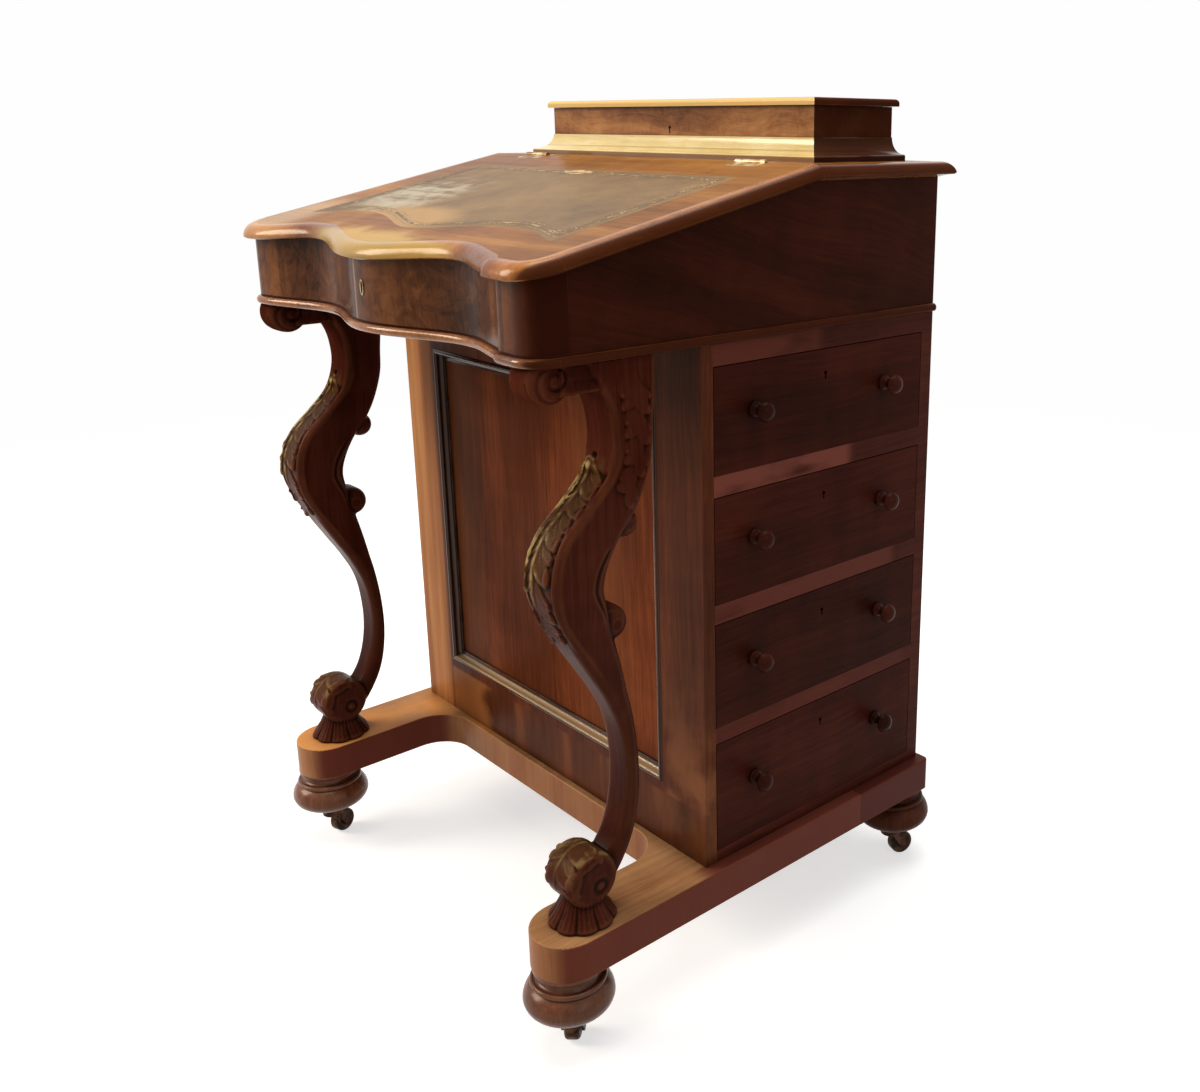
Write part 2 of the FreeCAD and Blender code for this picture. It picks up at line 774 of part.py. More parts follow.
def box_back():
    inside = half_width - wall
    return block(-inside, inside, carcass_rear - wall, carcass_rear, box_floor_top, shelf_bottom)


def bead_profile(place):
    """Half-round bead: place turns (outward, height) into a point."""
    low, high = place(0, 0), place(0, bead_height)
    return [arc(low, place(bead_depth, bead_height / 2), high), line(high, low)]


def box_bead():
    """Bead round the foot of the writing box: a shaped front piece and two straight sides."""
    def left_start(u, v):
        return V(-half_width - u, corner_y, carcass_top + v)

    def right_side(u, v):
        return V(half_width + u, corner_y, carcass_top + v)
    front = swept(front_edges(0, z=carcass_top), Part.Wire(bead_profile(left_start)))
    side = Part.Face(Part.Wire(bead_profile(right_side))).extrude(V(0, carcass_rear - corner_y, 0))
    return [front] + pair(side)


def edge_moulding(place, spare=0.0):
    """Thumb moulding of lid and shelf, hollowed on its underside, with spare wood on its inside."""
    inner, lip = -board_inset, moulding_reach - moulding_lip
    underside = -moulding_drop - moulding_lip
    edges = [
        line(place(inner - spare, -lid_thickness), place(inner - spare, 0)),
        line(place(inner - spare, 0), place(inner + 2, 0)),
        arc(place(inner + 2, 0), place(moulding_reach - 4, -3), place(moulding_reach, -moulding_drop)),
        line(place(moulding_reach, -moulding_drop), place(lip, underside)),
        arc(place(lip, underside), place(lip - 5, underside - 0.8), place(1, -lid_thickness)),
        line(place(1, -lid_thickness), place(inner - spare, -lid_thickness)),
    ]
    return Part.Wire(edges)


def knuckle_slots():
    """Room for the hinge barrels in the meeting edges of lid and shelf."""
    slots = []
    for side in (-1, 1):
        start = V(side * hinge_x - hinge_length / 2, hinge_y, shelf_top)
        slots.append(rod(knuckle_radius + knuckle_gap, start, X_AXIS, hinge_length))
    return slots


def leaf_bed(side, lid):
    """Shape of one hinge leaf, level with the top face and reaching away from the barrel."""
    x = side * hinge_x
    near = knuckle_radius / 2
    far = lid_leaf_width
    y0, y1 = (-far, -near) if lid else (near, far)
    leaf = block(x - hinge_length / 2, x + hinge_length / 2, y0, y1, -leaf_thickness, 0)
    if lid:
        leaf.rotate(V(0, 0, 0), X_AXIS, slope)
    leaf.translate(V(0, hinge_y, shelf_top))
    return leaf


def shelf():
    edge = half_width - board_inset
    board = block(-edge, edge, hinge_y + panel_gap, carcass_rear - board_inset, shelf_bottom, shelf_top)
    return board.cut(knuckle_slots() + [leaf_bed(s, False) for s in (-1, 1)])


def shelf_moulding():
    """Moulding along both ends and the rear of the shelf, mitred at the rear corners."""
    start, end = hinge_y + panel_gap, carcass_rear
    reach = moulding_reach
    z0 = shelf_bottom - 1
    height = V(0, 0, lid_thickness + 2)

    def side_place(u, w):
        return V(half_width + u, start, shelf_top + w)

    def rear_place(u, w):
        return V(-half_width - reach, carcass_rear + u, shelf_top + w)
    side = Part.Face(edge_moulding(side_place)).extrude(V(0, end - start + reach, 0))
    side_mitre = [V(half_width - board_inset, start, z0), V(half_width + reach, start, z0),
                  V(half_width + reach, end + reach, z0), V(half_width - board_inset, end - board_inset, z0)]
    side = side.common(prism(side_mitre, height))
    rear = Part.Face(edge_moulding(rear_place)).extrude(V(2 * (half_width + reach), 0, 0))
    rear_mitre = [V(half_width - board_inset, end - board_inset, z0), V(half_width + reach, end + reach, z0),
                  V(-half_width - reach, end + reach, z0), V(board_inset - half_width, end - board_inset, z0)]
    return pair(side) + [rear.common(prism(rear_mitre, height))]


def leather_face(z):
    edges = front_edges(-leather_border, hinge_y, stretch, z, reach=leather_half + 15, corners=False)
    return closed_behind(edges, leather_rear)


def leather_bed():
    sheet = leather_face(-leather_thickness).extrude(V(0, 0, leather_thickness))
    sheet = sheet.common(block(-leather_half, leather_half, -outside, 0, -leather_thickness, 0))
    return tilted(sheet)


def writing_lid():
    face = closed_behind(front_edges(-board_inset - board_seam, hinge_y, stretch, -lid_thickness), 20)
    board = tilted(face.extrude(V(0, 0, lid_thickness)))
    return board.cut(knuckle_slots() + [leaf_bed(s, True) for s in (-1, 1)] + [leather_bed()])


def lid_moulding():
    """Moulding round the writing lid: the serpentine front piece and two straight sides."""
    start = front_point(crest_x, 0, hinge_y, stretch).y + corner_radius

    def left_start(u, w):
        return V(-half_width - u, start, w)

    def right_side(u, w):
        return V(half_width + u, start, w)
    front = swept(front_edges(0, hinge_y, stretch), edge_moulding(left_start, moulding_rebate))
    bed = closed_behind(front_edges(-board_inset, hinge_y, stretch, -lid_thickness - 1), 20)
    front = front.cut(bed.extrude(V(0, 0, lid_thickness + 2)))
    side = Part.Face(edge_moulding(right_side)).extrude(V(0, 20 - start, 0))
    return [tilted(front)] + pair(tilted(side))


def escutcheon():
    """Thin oval rim round the writing box's keyhole."""
    point = V(0, hollow_y - bow_depth, box_lock_height)
    plates = []
    for shrink in (0, escutcheon_rim):
        major, minor = escutcheon_height / 2 - shrink, escutcheon_width / 2 - shrink
        oval = Part.Ellipse(V(0, 0, 0), major, minor).toShape()
        plate = Part.Face(Part.Wire(oval)).extrude(V(0, 0, escutcheon_thickness))
        plate.rotate(V(0, 0, 0), Z_AXIS, 90)
        plate.rotate(V(0, 0, 0), X_AXIS, 90)
        plate.translate(point)
        plates.append(plate)
    return plates[0].cut(plates[1])


# ---- Hinges ----

def barrel(start, end, x_middle, y, z):
    """A stretch of hinge knuckle, bored for its pin."""
    low = V(x_middle + start, y, z)
    tube = rod(knuckle_radius, low, X_AXIS, end - start)
    return tube.cut(rod(pin_radius + touch, low, X_AXIS, end - start))


def barrel_stretches(fixed):
    """Middle third for the fixed leaf, the two ends for the moving one."""
    third = hinge_length / 6
    half = hinge_length / 2
    if fixed:
        return [(-third + knuckle_gap, third - knuckle_gap)]
    return [(-half, -third), (third, half)]


def writing_leaf(side, lid):
    """A leaf of a writing-lid hinge. Its barrel lies on the line where lid and shelf meet."""
    x = side * hinge_x
    leaf = leaf_bed(side, lid)
    pieces = []
    for a, b in barrel_stretches(not lid):
        near = knuckle_radius
        y0, y1 = (-near, 0) if lid else (0, near)
        neck = block(x + a, x + b, y0, y1, -leaf_thickness, 0)
        if lid:
            neck.rotate(V(0, 0, 0), X_AXIS, slope)
        neck.translate(V(0, hinge_y, shelf_top))
        pieces += [neck, barrel(a, b, x, hinge_y, shelf_top)]
    clear = rod(pin_radius + touch, V(x - hinge_length, hinge_y, shelf_top), X_AXIS, 2 * hinge_length)
    return leaf.cut(barrel_room(x, lid)).fuse(pieces).cut(clear).removeSplitter()


def barrel_room(x, lid):
    """Space beside the other leaf's barrels."""
    room = knuckle_radius + knuckle_gap
    return [rod(room, V(x + a - knuckle_gap, hinge_y, shelf_top), X_AXIS, b - a + 2 * knuckle_gap)
            for a, b in barrel_stretches(lid)]


def small_leaf_plate(side, lid):
    x = side * small_hinge_x
    x0, x1 = x - hinge_length / 2, x + hinge_length / 2
    if lid:
        return block(x0, x1, small_pin_y - small_leaf_width, small_pin_y,
                     stationery_top, stationery_top + leaf_thickness)
    return block(x0, x1, stationery_rear, stationery_rear + leaf_thickness,
                 small_pin_z - small_leaf_width, small_pin_z - knuckle_radius - knuckle_gap)


def small_leaf(side, lid):
    """A leaf of a stationery-lid hinge, whose barrel lies behind the box, under the lid."""
    x = side * small_hinge_x
    leaf = small_leaf_plate(side, lid)
    pieces = []
    for a, b in barrel_stretches(not lid):
        if lid:
            neck = block(x + a, x + b, small_pin_y - knuckle_radius, small_pin_y,
                         small_pin_z, stationery_top + leaf_thickness)
        else:
            neck = block(x + a, x + b, stationery_rear, small_pin_y,
                         small_pin_z - knuckle_radius - 2, small_pin_z)
        pieces += [neck, barrel(a, b, x, small_pin_y, small_pin_z)]
    clear = rod(pin_radius + touch, V(x - hinge_length, small_pin_y, small_pin_z), X_AXIS, 2 * hinge_length)
    return leaf.fuse(pieces).cut(clear).removeSplitter()


def hinge_pins():
    pins = []
    for x, y, z in ((hinge_x, hinge_y, shelf_top), (small_hinge_x, small_pin_y, small_pin_z)):
        pins += pair(rod(pin_radius, V(x - hinge_length / 2, y, z), X_AXIS, hinge_length))
    return pins


# ---- Stationery box ----

def stationery_walls():
    half, front, rear = stationery_half, stationery_front, stationery_rear
    inside = half - stationery_wall
    top = stationery_top - panel_gap
    front_wall = block(-half, half, front, front + stationery_wall, shelf_top, top)
    front_wall = front_wall.cut(keyhole(V(0, front - 1, shelf_top + stationery_keyhole), Y_AXIS, 12))
    back_wall = block(-half, half, rear - stationery_wall, rear, shelf_top, top)
    end = block(inside, half, front + stationery_wall, rear - stationery_wall, shelf_top, top)
    return [front_wall, back_wall] + pair(end)


def cove_profile(place):
    top = place(0, cove_height)
    low = place(cove_reach - 1.5, plinth_height + 1)
    edges = [
        line(place(0, 0), place(cove_reach, 0)),
        line(place(cove_reach, 0), place(cove_reach, plinth_height)),
        line(place(cove_reach, plinth_height), low),
        arc(low, place(cove_reach * 0.34, cove_height * 0.46), place(1, cove_height)),
        line(place(1, cove_height), top),
        line(top, place(0, 0)),
    ]
    return Part.Face(Part.Wire(edges))


def stationery_moulding():
    """Coved base along the front and both ends, mitred at the front corners."""
    half, front, rear, reach = stationery_half, stationery_front, stationery_rear, cove_reach
    height = V(0, 0, cove_height)

    def front_place(u, w):
        return V(-half - reach, front - u, shelf_top + w)

    def side_place(u, w):
        return V(half + u, front - reach, shelf_top + w)
    front_strip = cove_profile(front_place).extrude(V(2 * (half + reach), 0, 0))
    side_strip = cove_profile(side_place).extrude(V(0, rear - front + reach, 0))
    front_mitre = [V(-half, front, shelf_top), V(half, front, shelf_top),
                   V(half + reach, front - reach, shelf_top), V(-half - reach, front - reach, shelf_top)]
    side_mitre = [V(half, front, shelf_top), V(half, rear, shelf_top),
                  V(half + reach, rear, shelf_top), V(half + reach, front - reach, shelf_top)]
    return [front_strip.common(prism(front_mitre, height))] + pair(side_strip.common(prism(side_mitre, height)))


def stationery_lid():
    """Flat lid with a thumbed edge, overhanging the box on all sides."""
    over = stationery_overhang
    half = stationery_half + over
    lid = block(-half, half, stationery_front - over, stationery_rear + over,
                stationery_top, stationery_top + stationery_lid_thickness)
    top = [e for e in lid.Edges if e.BoundBox.ZMin > stationery_top + stationery_lid_thickness - 0.01]
    lid = lid.makeFillet(stationery_lid_thickness * 0.55, top)
    return lid.cut([small_leaf_plate(s, True) for s in (-1, 1)])


# ---- The finished pieces ----

def save(name, shapes):
    """Writes one node: a single solid, or a group of separate ones."""
    shapes = shapes if isinstance(shapes, list) else [shapes]
    solids = [solid for shape in shapes for solid in shape.Solids]
    node = solids[0] if len(solids) == 1 else Part.makeCompound(solids)
    node.translate(centring)
    node.exportStep("parts/" + name + ".step")


def build():
    os.makedirs("parts", exist_ok=True)
    centres = {name: V(sx * foot_x, foot_y[sy], 0) for name, (sx, sy) in CORNERS.items()}
    save("platform", platform())
    save("bun_feet", [bun_foot(c) for c in centres.values()])
    save("castor_sockets", [castor_socket(c) for c in centres.values()])
    for name, centre in centres.items():
        heading = castor_headings[name]
        save("castor_fork_" + name, trailing(castor_fork(), centre, heading))
        save("castor_wheel_" + name, trailing(castor_wheel(), centre, heading))
        save("castor_axle_" + name, trailing(axle_rod(0), centre, heading))

    leg = scroll_leg()
    leg.translate(V(leg_x, 0, 0))
    save("scroll_leg_right", leg)
    save("scroll_leg_left", mirrored(leg))

    save("carcass_boards", carcass_boards())
    save("front_frame", front_stiles() + front_rails())
    save("front_panel", front_panel())
    save("panel_moulding", panel_moulding())
    save("rear_posts", rear_posts())
    save("back_panel", back_panel())
    save("false_fronts", false_fronts())
    save("false_front_knobs", false_front_knobs())

    for number, (low, high) in enumerate(reversed(drawer_levels()), 1):
        for part, shape in drawer_parts(low, high).items():
            save("drawer_%d_%s" % (number, part), shape)

    save("box_floor", box_floor())
    save("box_front", box_front())
    save("box_walls", box_sides() + [box_back()])
    save("box_bead", box_bead())
    save("box_escutcheon", escutcheon())
    save("shelf", shelf())
    save("shelf_moulding", shelf_moulding())
    save("writing_lid", writing_lid())
    save("lid_leather", leather_bed())
    save("lid_moulding", lid_moulding())

    save("stationery_walls", stationery_walls())
    save("stationery_moulding", stationery_moulding())
    save("stationery_lid", stationery_lid())
    save("shelf_hinge_leaves", [writing_leaf(s, False) for s in (-1, 1)])
    save("lid_hinge_leaves", [writing_leaf(s, True) for s in (-1, 1)])
    save("box_hinge_leaves", [small_leaf(s, False) for s in (-1, 1)])
    save("stationery_lid_leaves", [small_leaf(s, True) for s in (-1, 1)])
    save("hinge_pins", hinge_pins())


build()
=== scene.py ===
"""Davenport writing desk: the finishes, carved legs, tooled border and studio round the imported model.

Metres, in the model's own frame: the writer sits on the -Y side and the real drawers open to +X.
The carving and the border are worked out in millimetres.
"""
import fnmatch
import math

import bmesh
import bpy
import numpy as np
from mathutils import Matrix, Vector


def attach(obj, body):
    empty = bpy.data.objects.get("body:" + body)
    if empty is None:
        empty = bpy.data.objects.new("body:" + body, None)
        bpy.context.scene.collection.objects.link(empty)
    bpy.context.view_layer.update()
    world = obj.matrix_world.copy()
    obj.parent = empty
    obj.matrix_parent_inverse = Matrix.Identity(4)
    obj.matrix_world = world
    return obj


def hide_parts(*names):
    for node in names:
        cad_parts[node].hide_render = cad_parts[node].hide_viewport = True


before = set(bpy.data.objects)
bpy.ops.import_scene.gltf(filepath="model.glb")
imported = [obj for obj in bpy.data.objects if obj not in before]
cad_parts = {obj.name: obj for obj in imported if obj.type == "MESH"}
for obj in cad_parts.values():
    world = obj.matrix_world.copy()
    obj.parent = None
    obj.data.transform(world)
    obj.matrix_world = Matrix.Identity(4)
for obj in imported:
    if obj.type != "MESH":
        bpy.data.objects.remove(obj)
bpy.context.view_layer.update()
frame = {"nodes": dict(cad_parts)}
NODES = frame["nodes"]
MM = 0.001


# -------- shader nodes

def srgb(*display):
    """Linear colour from 0-255 display values."""
    values = (v / 255 for v in display)
    return (*(v / 12.92 if v <= 0.04045 else ((v + 0.055) / 1.055) ** 2.4 for v in values), 1.0)


class Shader:
    """Strings shader nodes together for a material or a world. Tones are 0-255 display values."""

    def __init__(self, owner):
        owner.use_nodes = True
        self.owner = owner
        self.tree = owner.node_tree
        self.colour = None

    def put(self, socket, value):
        """Links another node's socket, or sets a plain value."""
        if isinstance(value, bpy.types.NodeSocket):
            self.tree.links.new(value, socket)
        else:
            socket.default_value = value

    def node(self, kind, inputs=(), **props):
        made = self.tree.nodes.new("ShaderNode" + kind)
        for key, value in props.items():
            setattr(made, key, value)
        for key, value in dict(inputs).items():
            self.put(made.inputs[key], value)
        return made

    def surface(self, values):
        """Fills the main shader's own sockets, and gives the material."""
        for key, value in values.items():
            self.put(self.tree.nodes["Principled BSDF"].inputs[key], value)
        return self.owner

    def math(self, op, a, b=0.0):
        return self.node("Math", {0: a, 1: b}, operation=op).outputs[0]

    def plus(self, a, b):
        return self.math("ADD", a, b)

    def times(self, *factors):
        """The product of all the factors."""
        product = factors[0]
        for factor in factors[1:]:
            product = self.math("MULTIPLY", product, factor)
        return product

    def vmath(self, op, a, b=(0, 0, 0)):
        return self.node("VectorMath", {0: a, 1: b}, operation=op).outputs[0]

    def size(self, vector):
        return self.node("VectorMath", {0: vector}, operation="LENGTH").outputs["Value"]

    def stretch(self, vector, factors):
        return self.vmath("MULTIPLY", vector, factors)

    def xyz(self, vector):
        return self.node("SeparateXYZ", {0: vector}).outputs

    def join(self, x, y, z):
        return self.node("CombineXYZ", {0: x, 1: y, 2: z}).outputs[0]

    def coords(self):
        return self.node("TexCoord").outputs["Object"]

    def facing(self):
        """The surface's own direction, which stays with the piece when it moves."""
        return self.xyz(self.node("TexCoord").outputs["Normal"])

    def stored(self, name):
        """A number that the mesh keeps for each vertex."""
        return self.node("Attribute", attribute_name=name).outputs["Fac"]

    def mix(self, share, a, b, blend="MIX"):
        return self.node("Mix", {0: share, 6: a, 7: b}, data_type="RGBA", blend_type=blend).outputs[2]

    def tint(self, tone, *shares):
        """Moves the colour towards a tone, by the product of the shares."""
        self.colour = self.mix(self.times(*shares), self.colour, srgb(*tone))

    def ramp(self, value, stops):
        """A tone for each value, blended between the stops."""
        made = self.node("ValToRGB", {0: value})
        elements = made.color_ramp.elements
        while len(elements) < len(stops):
            elements.new(0.5)
        for element, (place, tone) in zip(elements, stops):
            element.position = place
            element.color = srgb(*tone)
        return made.outputs[0]

    def step(self, value, none, full):
        """Rises softly from 0 at one limit to 1 at the other, whichever of them is larger."""
        return self.node("MapRange", {0: value, 1: none, 2: full, 3: 0.0, 4: 1.0},
                         interpolation_type="SMOOTHSTEP").outputs[0]

    def between(self, value, low, high, soft=0.001):
        """1 where a value lies between two limits."""
        above = self.step(value, low - soft, low + soft)
        return self.times(above, self.step(value, high + soft, high - soft))

    def noise(self, vector, scale, detail=3.0, rough=0.5, distortion=0.0):
        return self.node("TexNoise", {"Vector": vector, "Scale": scale, "Detail": detail,
                                      "Roughness": rough, "Distortion": distortion}).outputs["Fac"]

    def cells(self, vector, scale, **props):
        return self.node("TexVoronoi", {"Vector": vector, "Scale": scale}, **props).outputs["Distance"]

    def bump(self, height, strength, distance):
        return self.node("Bump", {"Height": height, "Strength": strength, "Distance": distance}).outputs[0]

    def shade_and_tarnish(self, distance, dark):
        """1 in the open, falling to dark in corners and hollows: painted shade on wood, and the place of
        tarnish on brass.
        """
        open_sky = self.node("AmbientOcclusion", {"Distance": distance}, samples=6).outputs["AO"]
        return self.node("MapRange", {0: open_sky, 1: 0.2, 2: 0.95, 3: dark, 4: 1.0}).outputs[0]

    def edge(self, radius):
        """Near 1 on outside and inside edges."""
        rounded = self.node("Bevel", {"Radius": radius}, samples=4).outputs[0]
        normal = self.node("NewGeometry").outputs["Normal"]
        turn = self.node("VectorMath", {0: rounded, 1: normal}, operation="DOT_PRODUCT").outputs["Value"]
        return self.step(turn, 0.985, 0.80)


# -------- wood

EDGE_WEAR = 0.0016                 # radius of the rubbed edges
SHADE_REACH = 0.022               # how far the painted shade of a corner reaches over the wood beside it
POLISH_TINT = (1.0, 0.72, 0.50, 1)
SEAM_TONE = (24, 10, 6)


def crossbanded(s, p):
    """Turns the grain of upright faces so that it runs along them, and keeps it on level ones."""
    x, y, z = s.xyz(p)
    upright = s.join(s.plus(x, y), z, 0.3)
    level = s.step(s.math("ABSOLUTE", s.facing()[2]), 0.4, 0.6)
    return s.node("Mix", {0: level, 4: upright, 5: p}, data_type="VECTOR").outputs[1]


def wander(s, p, amount):
    """Lets the figure drift, as grain does."""
    noise = s.node("TexNoise", {"Vector": p, "Scale": 5.0, "Detail": 2.0}).outputs["Color"]
    push = s.node("VectorMath", {0: s.vmath("SUBTRACT", noise, (0.5, 0.5, 0.5)), "Scale": amount},
                  operation="SCALE").outputs[0]
    return s.vmath("ADD", p, push)


def carved_tones(s, here, worn, wear):
    """Painted shade in the hollows, rubbed crests, painted light on the lit side, and painted glints on the
    crests of the carving.
    """
    form = s.stored("form")
    # Painted light on the lit front of the strip and the top of the toe.
    s.tint((86, 65, 38), s.stored("painted_light"), 0.42)
    # Painted shade in the hollows of the carving.
    s.tint((24, 14, 8), s.step(form, 0.50, 0.24), 0.8)
    s.tint(worn, s.step(form, 0.55, 0.90), wear)
    # Painted glints, broken up, on the crests.
    broken = s.step(s.noise(here, 70.0, 2.0), 0.38, 0.58)
    s.tint((208, 182, 118), s.step(form, 0.48, 0.80), s.stored("painted_glint"), broken, 0.6)


def wood(name, grain, tones, seed, rings=5.0, figure=0.5, streak=0.5, rough=0.3, spec=0.03, coat=0.0,
         wear=0.30, wear_tone=None, book=None, bump=0.12, burr=0.0, tilt=0.0, shade_and_tarnish=0.35, carved=False,
         banded=False, patch=None, dull=None):
    """Polished figured timber. Grain runs along the named axis; book mirrors it about a plane of X."""
    s = Shader(bpy.data.materials.new(name))
    dark, mid, light = tones
    here = p = s.coords()
    if book is not None:
        x, y, z = s.xyz(p)
        from_seam = s.math("ABSOLUTE", s.math("SUBTRACT", x, book))
        p = s.join(from_seam, y, z)
    if banded:
        p = crossbanded(s, p)
    p = s.vmath("ADD", p, (seed * 1.37, seed * 0.71, seed * 2.03))
    if tilt:
        p = s.node("VectorRotate", {"Vector": p, "Angle": tilt}, rotation_type="X_AXIS").outputs[0]
    q = wander(s, p, 0.035 * figure + 0.10 * burr)

    def fibre(along, across):
        return s.stretch(q, tuple(along if axis == grain else across for axis in "XYZ"))

    ring = s.math("SINE", s.times(s.noise(fibre(1.0, 9.0), 1.0 + 0.7 * figure, 2.0, 0.45), rings * math.pi))
    ring = s.plus(s.times(ring, 0.5), 0.5)
    lines = s.noise(fibre(7.0, 190.0), 1.0, 3.0, 0.6)
    hairs = s.noise(fibre(22.0, 620.0), 1.0, 2.0)
    blot = s.noise(q, 6.0, 3.0, 0.55)
    curl = s.noise(fibre(38.0, 9.0), 1.0, 2.0)
    parts = [(ring, 0.42 * figure), (lines, streak), (hairs, streak * 0.6), (blot, 0.55), (curl, 0.25)]
    tone = 0.0
    for source, weight in parts:
        tone = s.plus(s.times(source, weight), tone)
    if burr:
        swirl = s.noise(q, 42.0, 4.0, 0.6, 2.2)
        tone = s.plus(tone, s.times(s.math("SUBTRACT", swirl, 0.5), burr))
    tone = s.times(tone, 1.0 / sum(weight for _, weight in parts))
    s.colour = s.ramp(tone, [(0.34, dark), (0.50, mid), (0.68, light)])
    pores = s.step(s.noise(fibre(55.0, 1500.0), 1.0, 2.0), 0.58, 0.74)
    pore_tone = tuple(v * 0.45 for v in srgb(*dark)[:3]) + (1,)
    s.colour = s.mix(s.times(pores, 0.35), s.colour, pore_tone)
    if patch:
        patch(s, here)
    if book is not None:
        s.tint(SEAM_TONE, s.step(from_seam, 0.0009, 0.0002), 0.6)
    worn = wear_tone or light
    if carved:
        carved_tones(s, here, worn, wear)
    else:
        rubbed = s.step(s.noise(p, 24.0), 0.35, 0.65)
        s.tint(worn, s.edge(EDGE_WEAR), rubbed, wear)
    # Painted shade: the wood darkens in corners and hollows, where shade falls.
    hollow = s.shade_and_tarnish(SHADE_REACH, shade_and_tarnish)
    painted_shade = s.node("CombineColor", {0: hollow, 1: hollow, 2: hollow}).outputs[0]
    gloss = s.plus(rough - 0.07, s.times(s.noise(p, 9.0), 0.14))
    relief = s.plus(s.times(lines, 0.6), s.times(pores, -0.5))
    if dull:
        kept = s.math("SUBTRACT", 1.0, dull(s, here))
        spec = s.times(kept, spec)
        coat = s.times(kept, coat)
    return s.surface({
        "Base Color": s.mix(1.0, s.colour, painted_shade, "MULTIPLY"), "Roughness": gloss,
        "Specular IOR Level": spec, "Specular Tint": POLISH_TINT, "Coat Weight": coat, "Coat Roughness": 0.10,
        "Normal": s.bump(relief, bump, 0.0006)})


# A patch tints part of a piece. Its limits are metres, or parts of the surface's direction.

def rail_patch(s, here):
    """Painted sheen: on the drawer side each rail is paler, up to its own place along the desk."""
    x, y, z = s.xyz(here)
    side = s.step(x, 0.20, 0.21)
    patchy = s.step(s.noise(s.stretch(here, (1, 9, 30)), 1.0), 0.25, 0.5)
    rail_sheens = ((0.480, 0.502, 0.112, (128, 70, 58), 0.85), (0.594, 0.617, 0.070, (112, 58, 46), 0.6),
             (0.362, 0.383, 0.180, (112, 60, 50), 0.6), (0.245, 0.264, 0.200, (92, 46, 38), 0.5))
    for low, high, rear, tone, share in rail_sheens:
        before = s.step(y, rear + 0.008, rear - 0.008)
        s.tint(tone, side, s.between(z, low, high), before, patchy, share)


def frame_patch(s, here):
    """The left stile is paler, and low on the right stile is a painted pool of light; the bottom rail is
    darker, with a golden brown left end.
    """
    x, _, z = s.xyz(here)
    fibre = s.noise(s.stretch(here, (60, 60, 3)), 1.0)
    paler_stile = s.ramp(fibre, [(0.3, (130, 78, 40)), (0.55, (168, 108, 60)), (0.75, (192, 134, 80))])
    s.colour = s.mix(s.times(s.step(x, -0.196, -0.204), 0.9), s.colour, paler_stile)
    # Painted light low on the right stile.
    lit = s.times(s.step(z, 0.34, 0.13), s.step(x, 0.19, 0.21))
    s.tint((150, 98, 62), lit, s.step(s.noise(here, 30.0), 0.35, 0.65), 0.6)
    rail = s.times(s.step(z, 0.180, 0.176), s.step(x, -0.199, -0.196))
    band = s.noise(s.stretch(here, (26, 26, 5)), 1.0, 3.0, 0.6)
    darker_rail = s.ramp(band, [(0.35, (58, 27, 12)), (0.55, (88, 46, 24)), (0.72, (124, 72, 42))])
    s.colour = s.mix(s.times(rail, 0.75), s.colour, darker_rail)
    ragged = s.plus(x, s.times(s.noise(here, 16.0, 3.0, 0.6), 0.10))
    s.tint((150, 90, 46), rail, s.step(ragged, -0.055, -0.085), 0.75)


def panel_patch(s, here):
    """Broad olive and dark bands along the left leaf, and a light one by the right edge."""
    place = s.plus(s.xyz(here)[0], s.times(s.noise(here, 5.0, 2.0), 0.05))
    bands = ((-0.20, -0.105, 0.02, (84, 52, 28), 0.45), (-0.055, 0.03, 0.03, (52, 24, 14), 0.55),
             (0.085, 0.16, 0.025, (128, 72, 42), 0.35))
    for low, high, soft, tone, share in bands:
        s.tint(tone, s.between(place, low, high, soft), share)


def box_front_patch(s, here):
    """Matched veneers, with painted shade where the front turns to the drawer side, and painted reflections:
    dark streaks where the bow meets the hollows and at both corners, and bright ones beside them.
    """
    x = s.xyz(here)[0]
    # Painted shade on the right corner and on faces turned to the drawer side.
    s.tint((82, 40, 27), s.step(x, 0.206, 0.242), 0.8)
    s.tint((52, 21, 13), s.step(s.facing()[0], 0.25, 0.9), 0.9)
    # Painted dark reflection streaks along the bends and corners.
    reflection_streaks = ((-0.022, 0.0022, 0.55), (-0.030, 0.005, 0.30), (0.196, 0.004, 0.45),
              (0.214, 0.003, 0.5), (-0.196, 0.004, 0.4), (0.236, 0.006, 0.3))
    for middle, half, share in reflection_streaks:
        s.tint((34, 15, 8), s.between(x, middle - half, middle + half, 0.0015), share)
    # Painted bright reflection streaks.
    s.tint((182, 140, 106), s.between(x, -0.018, -0.0145), 0.5)
    s.tint((170, 126, 96), s.between(x, 0.2035, 0.2065), 0.4)


def panel_mould_patch(s, here):
    """A painted highlight, almost white, low on the right of the moulding, and a gold painted highlight along
    the bottom.
    """
    x, _, z = s.xyz(here)
    turn = s.facing()
    right = s.times(s.step(x, 0.10, 0.12), s.step(z, 0.450, 0.435), s.step(turn[0], -0.25, -0.55))
    s.tint((240, 218, 200), right, 0.9)
    s.tint((206, 172, 128), s.step(z, 0.200, 0.196), s.step(turn[2], 0.25, 0.6), 0.65)


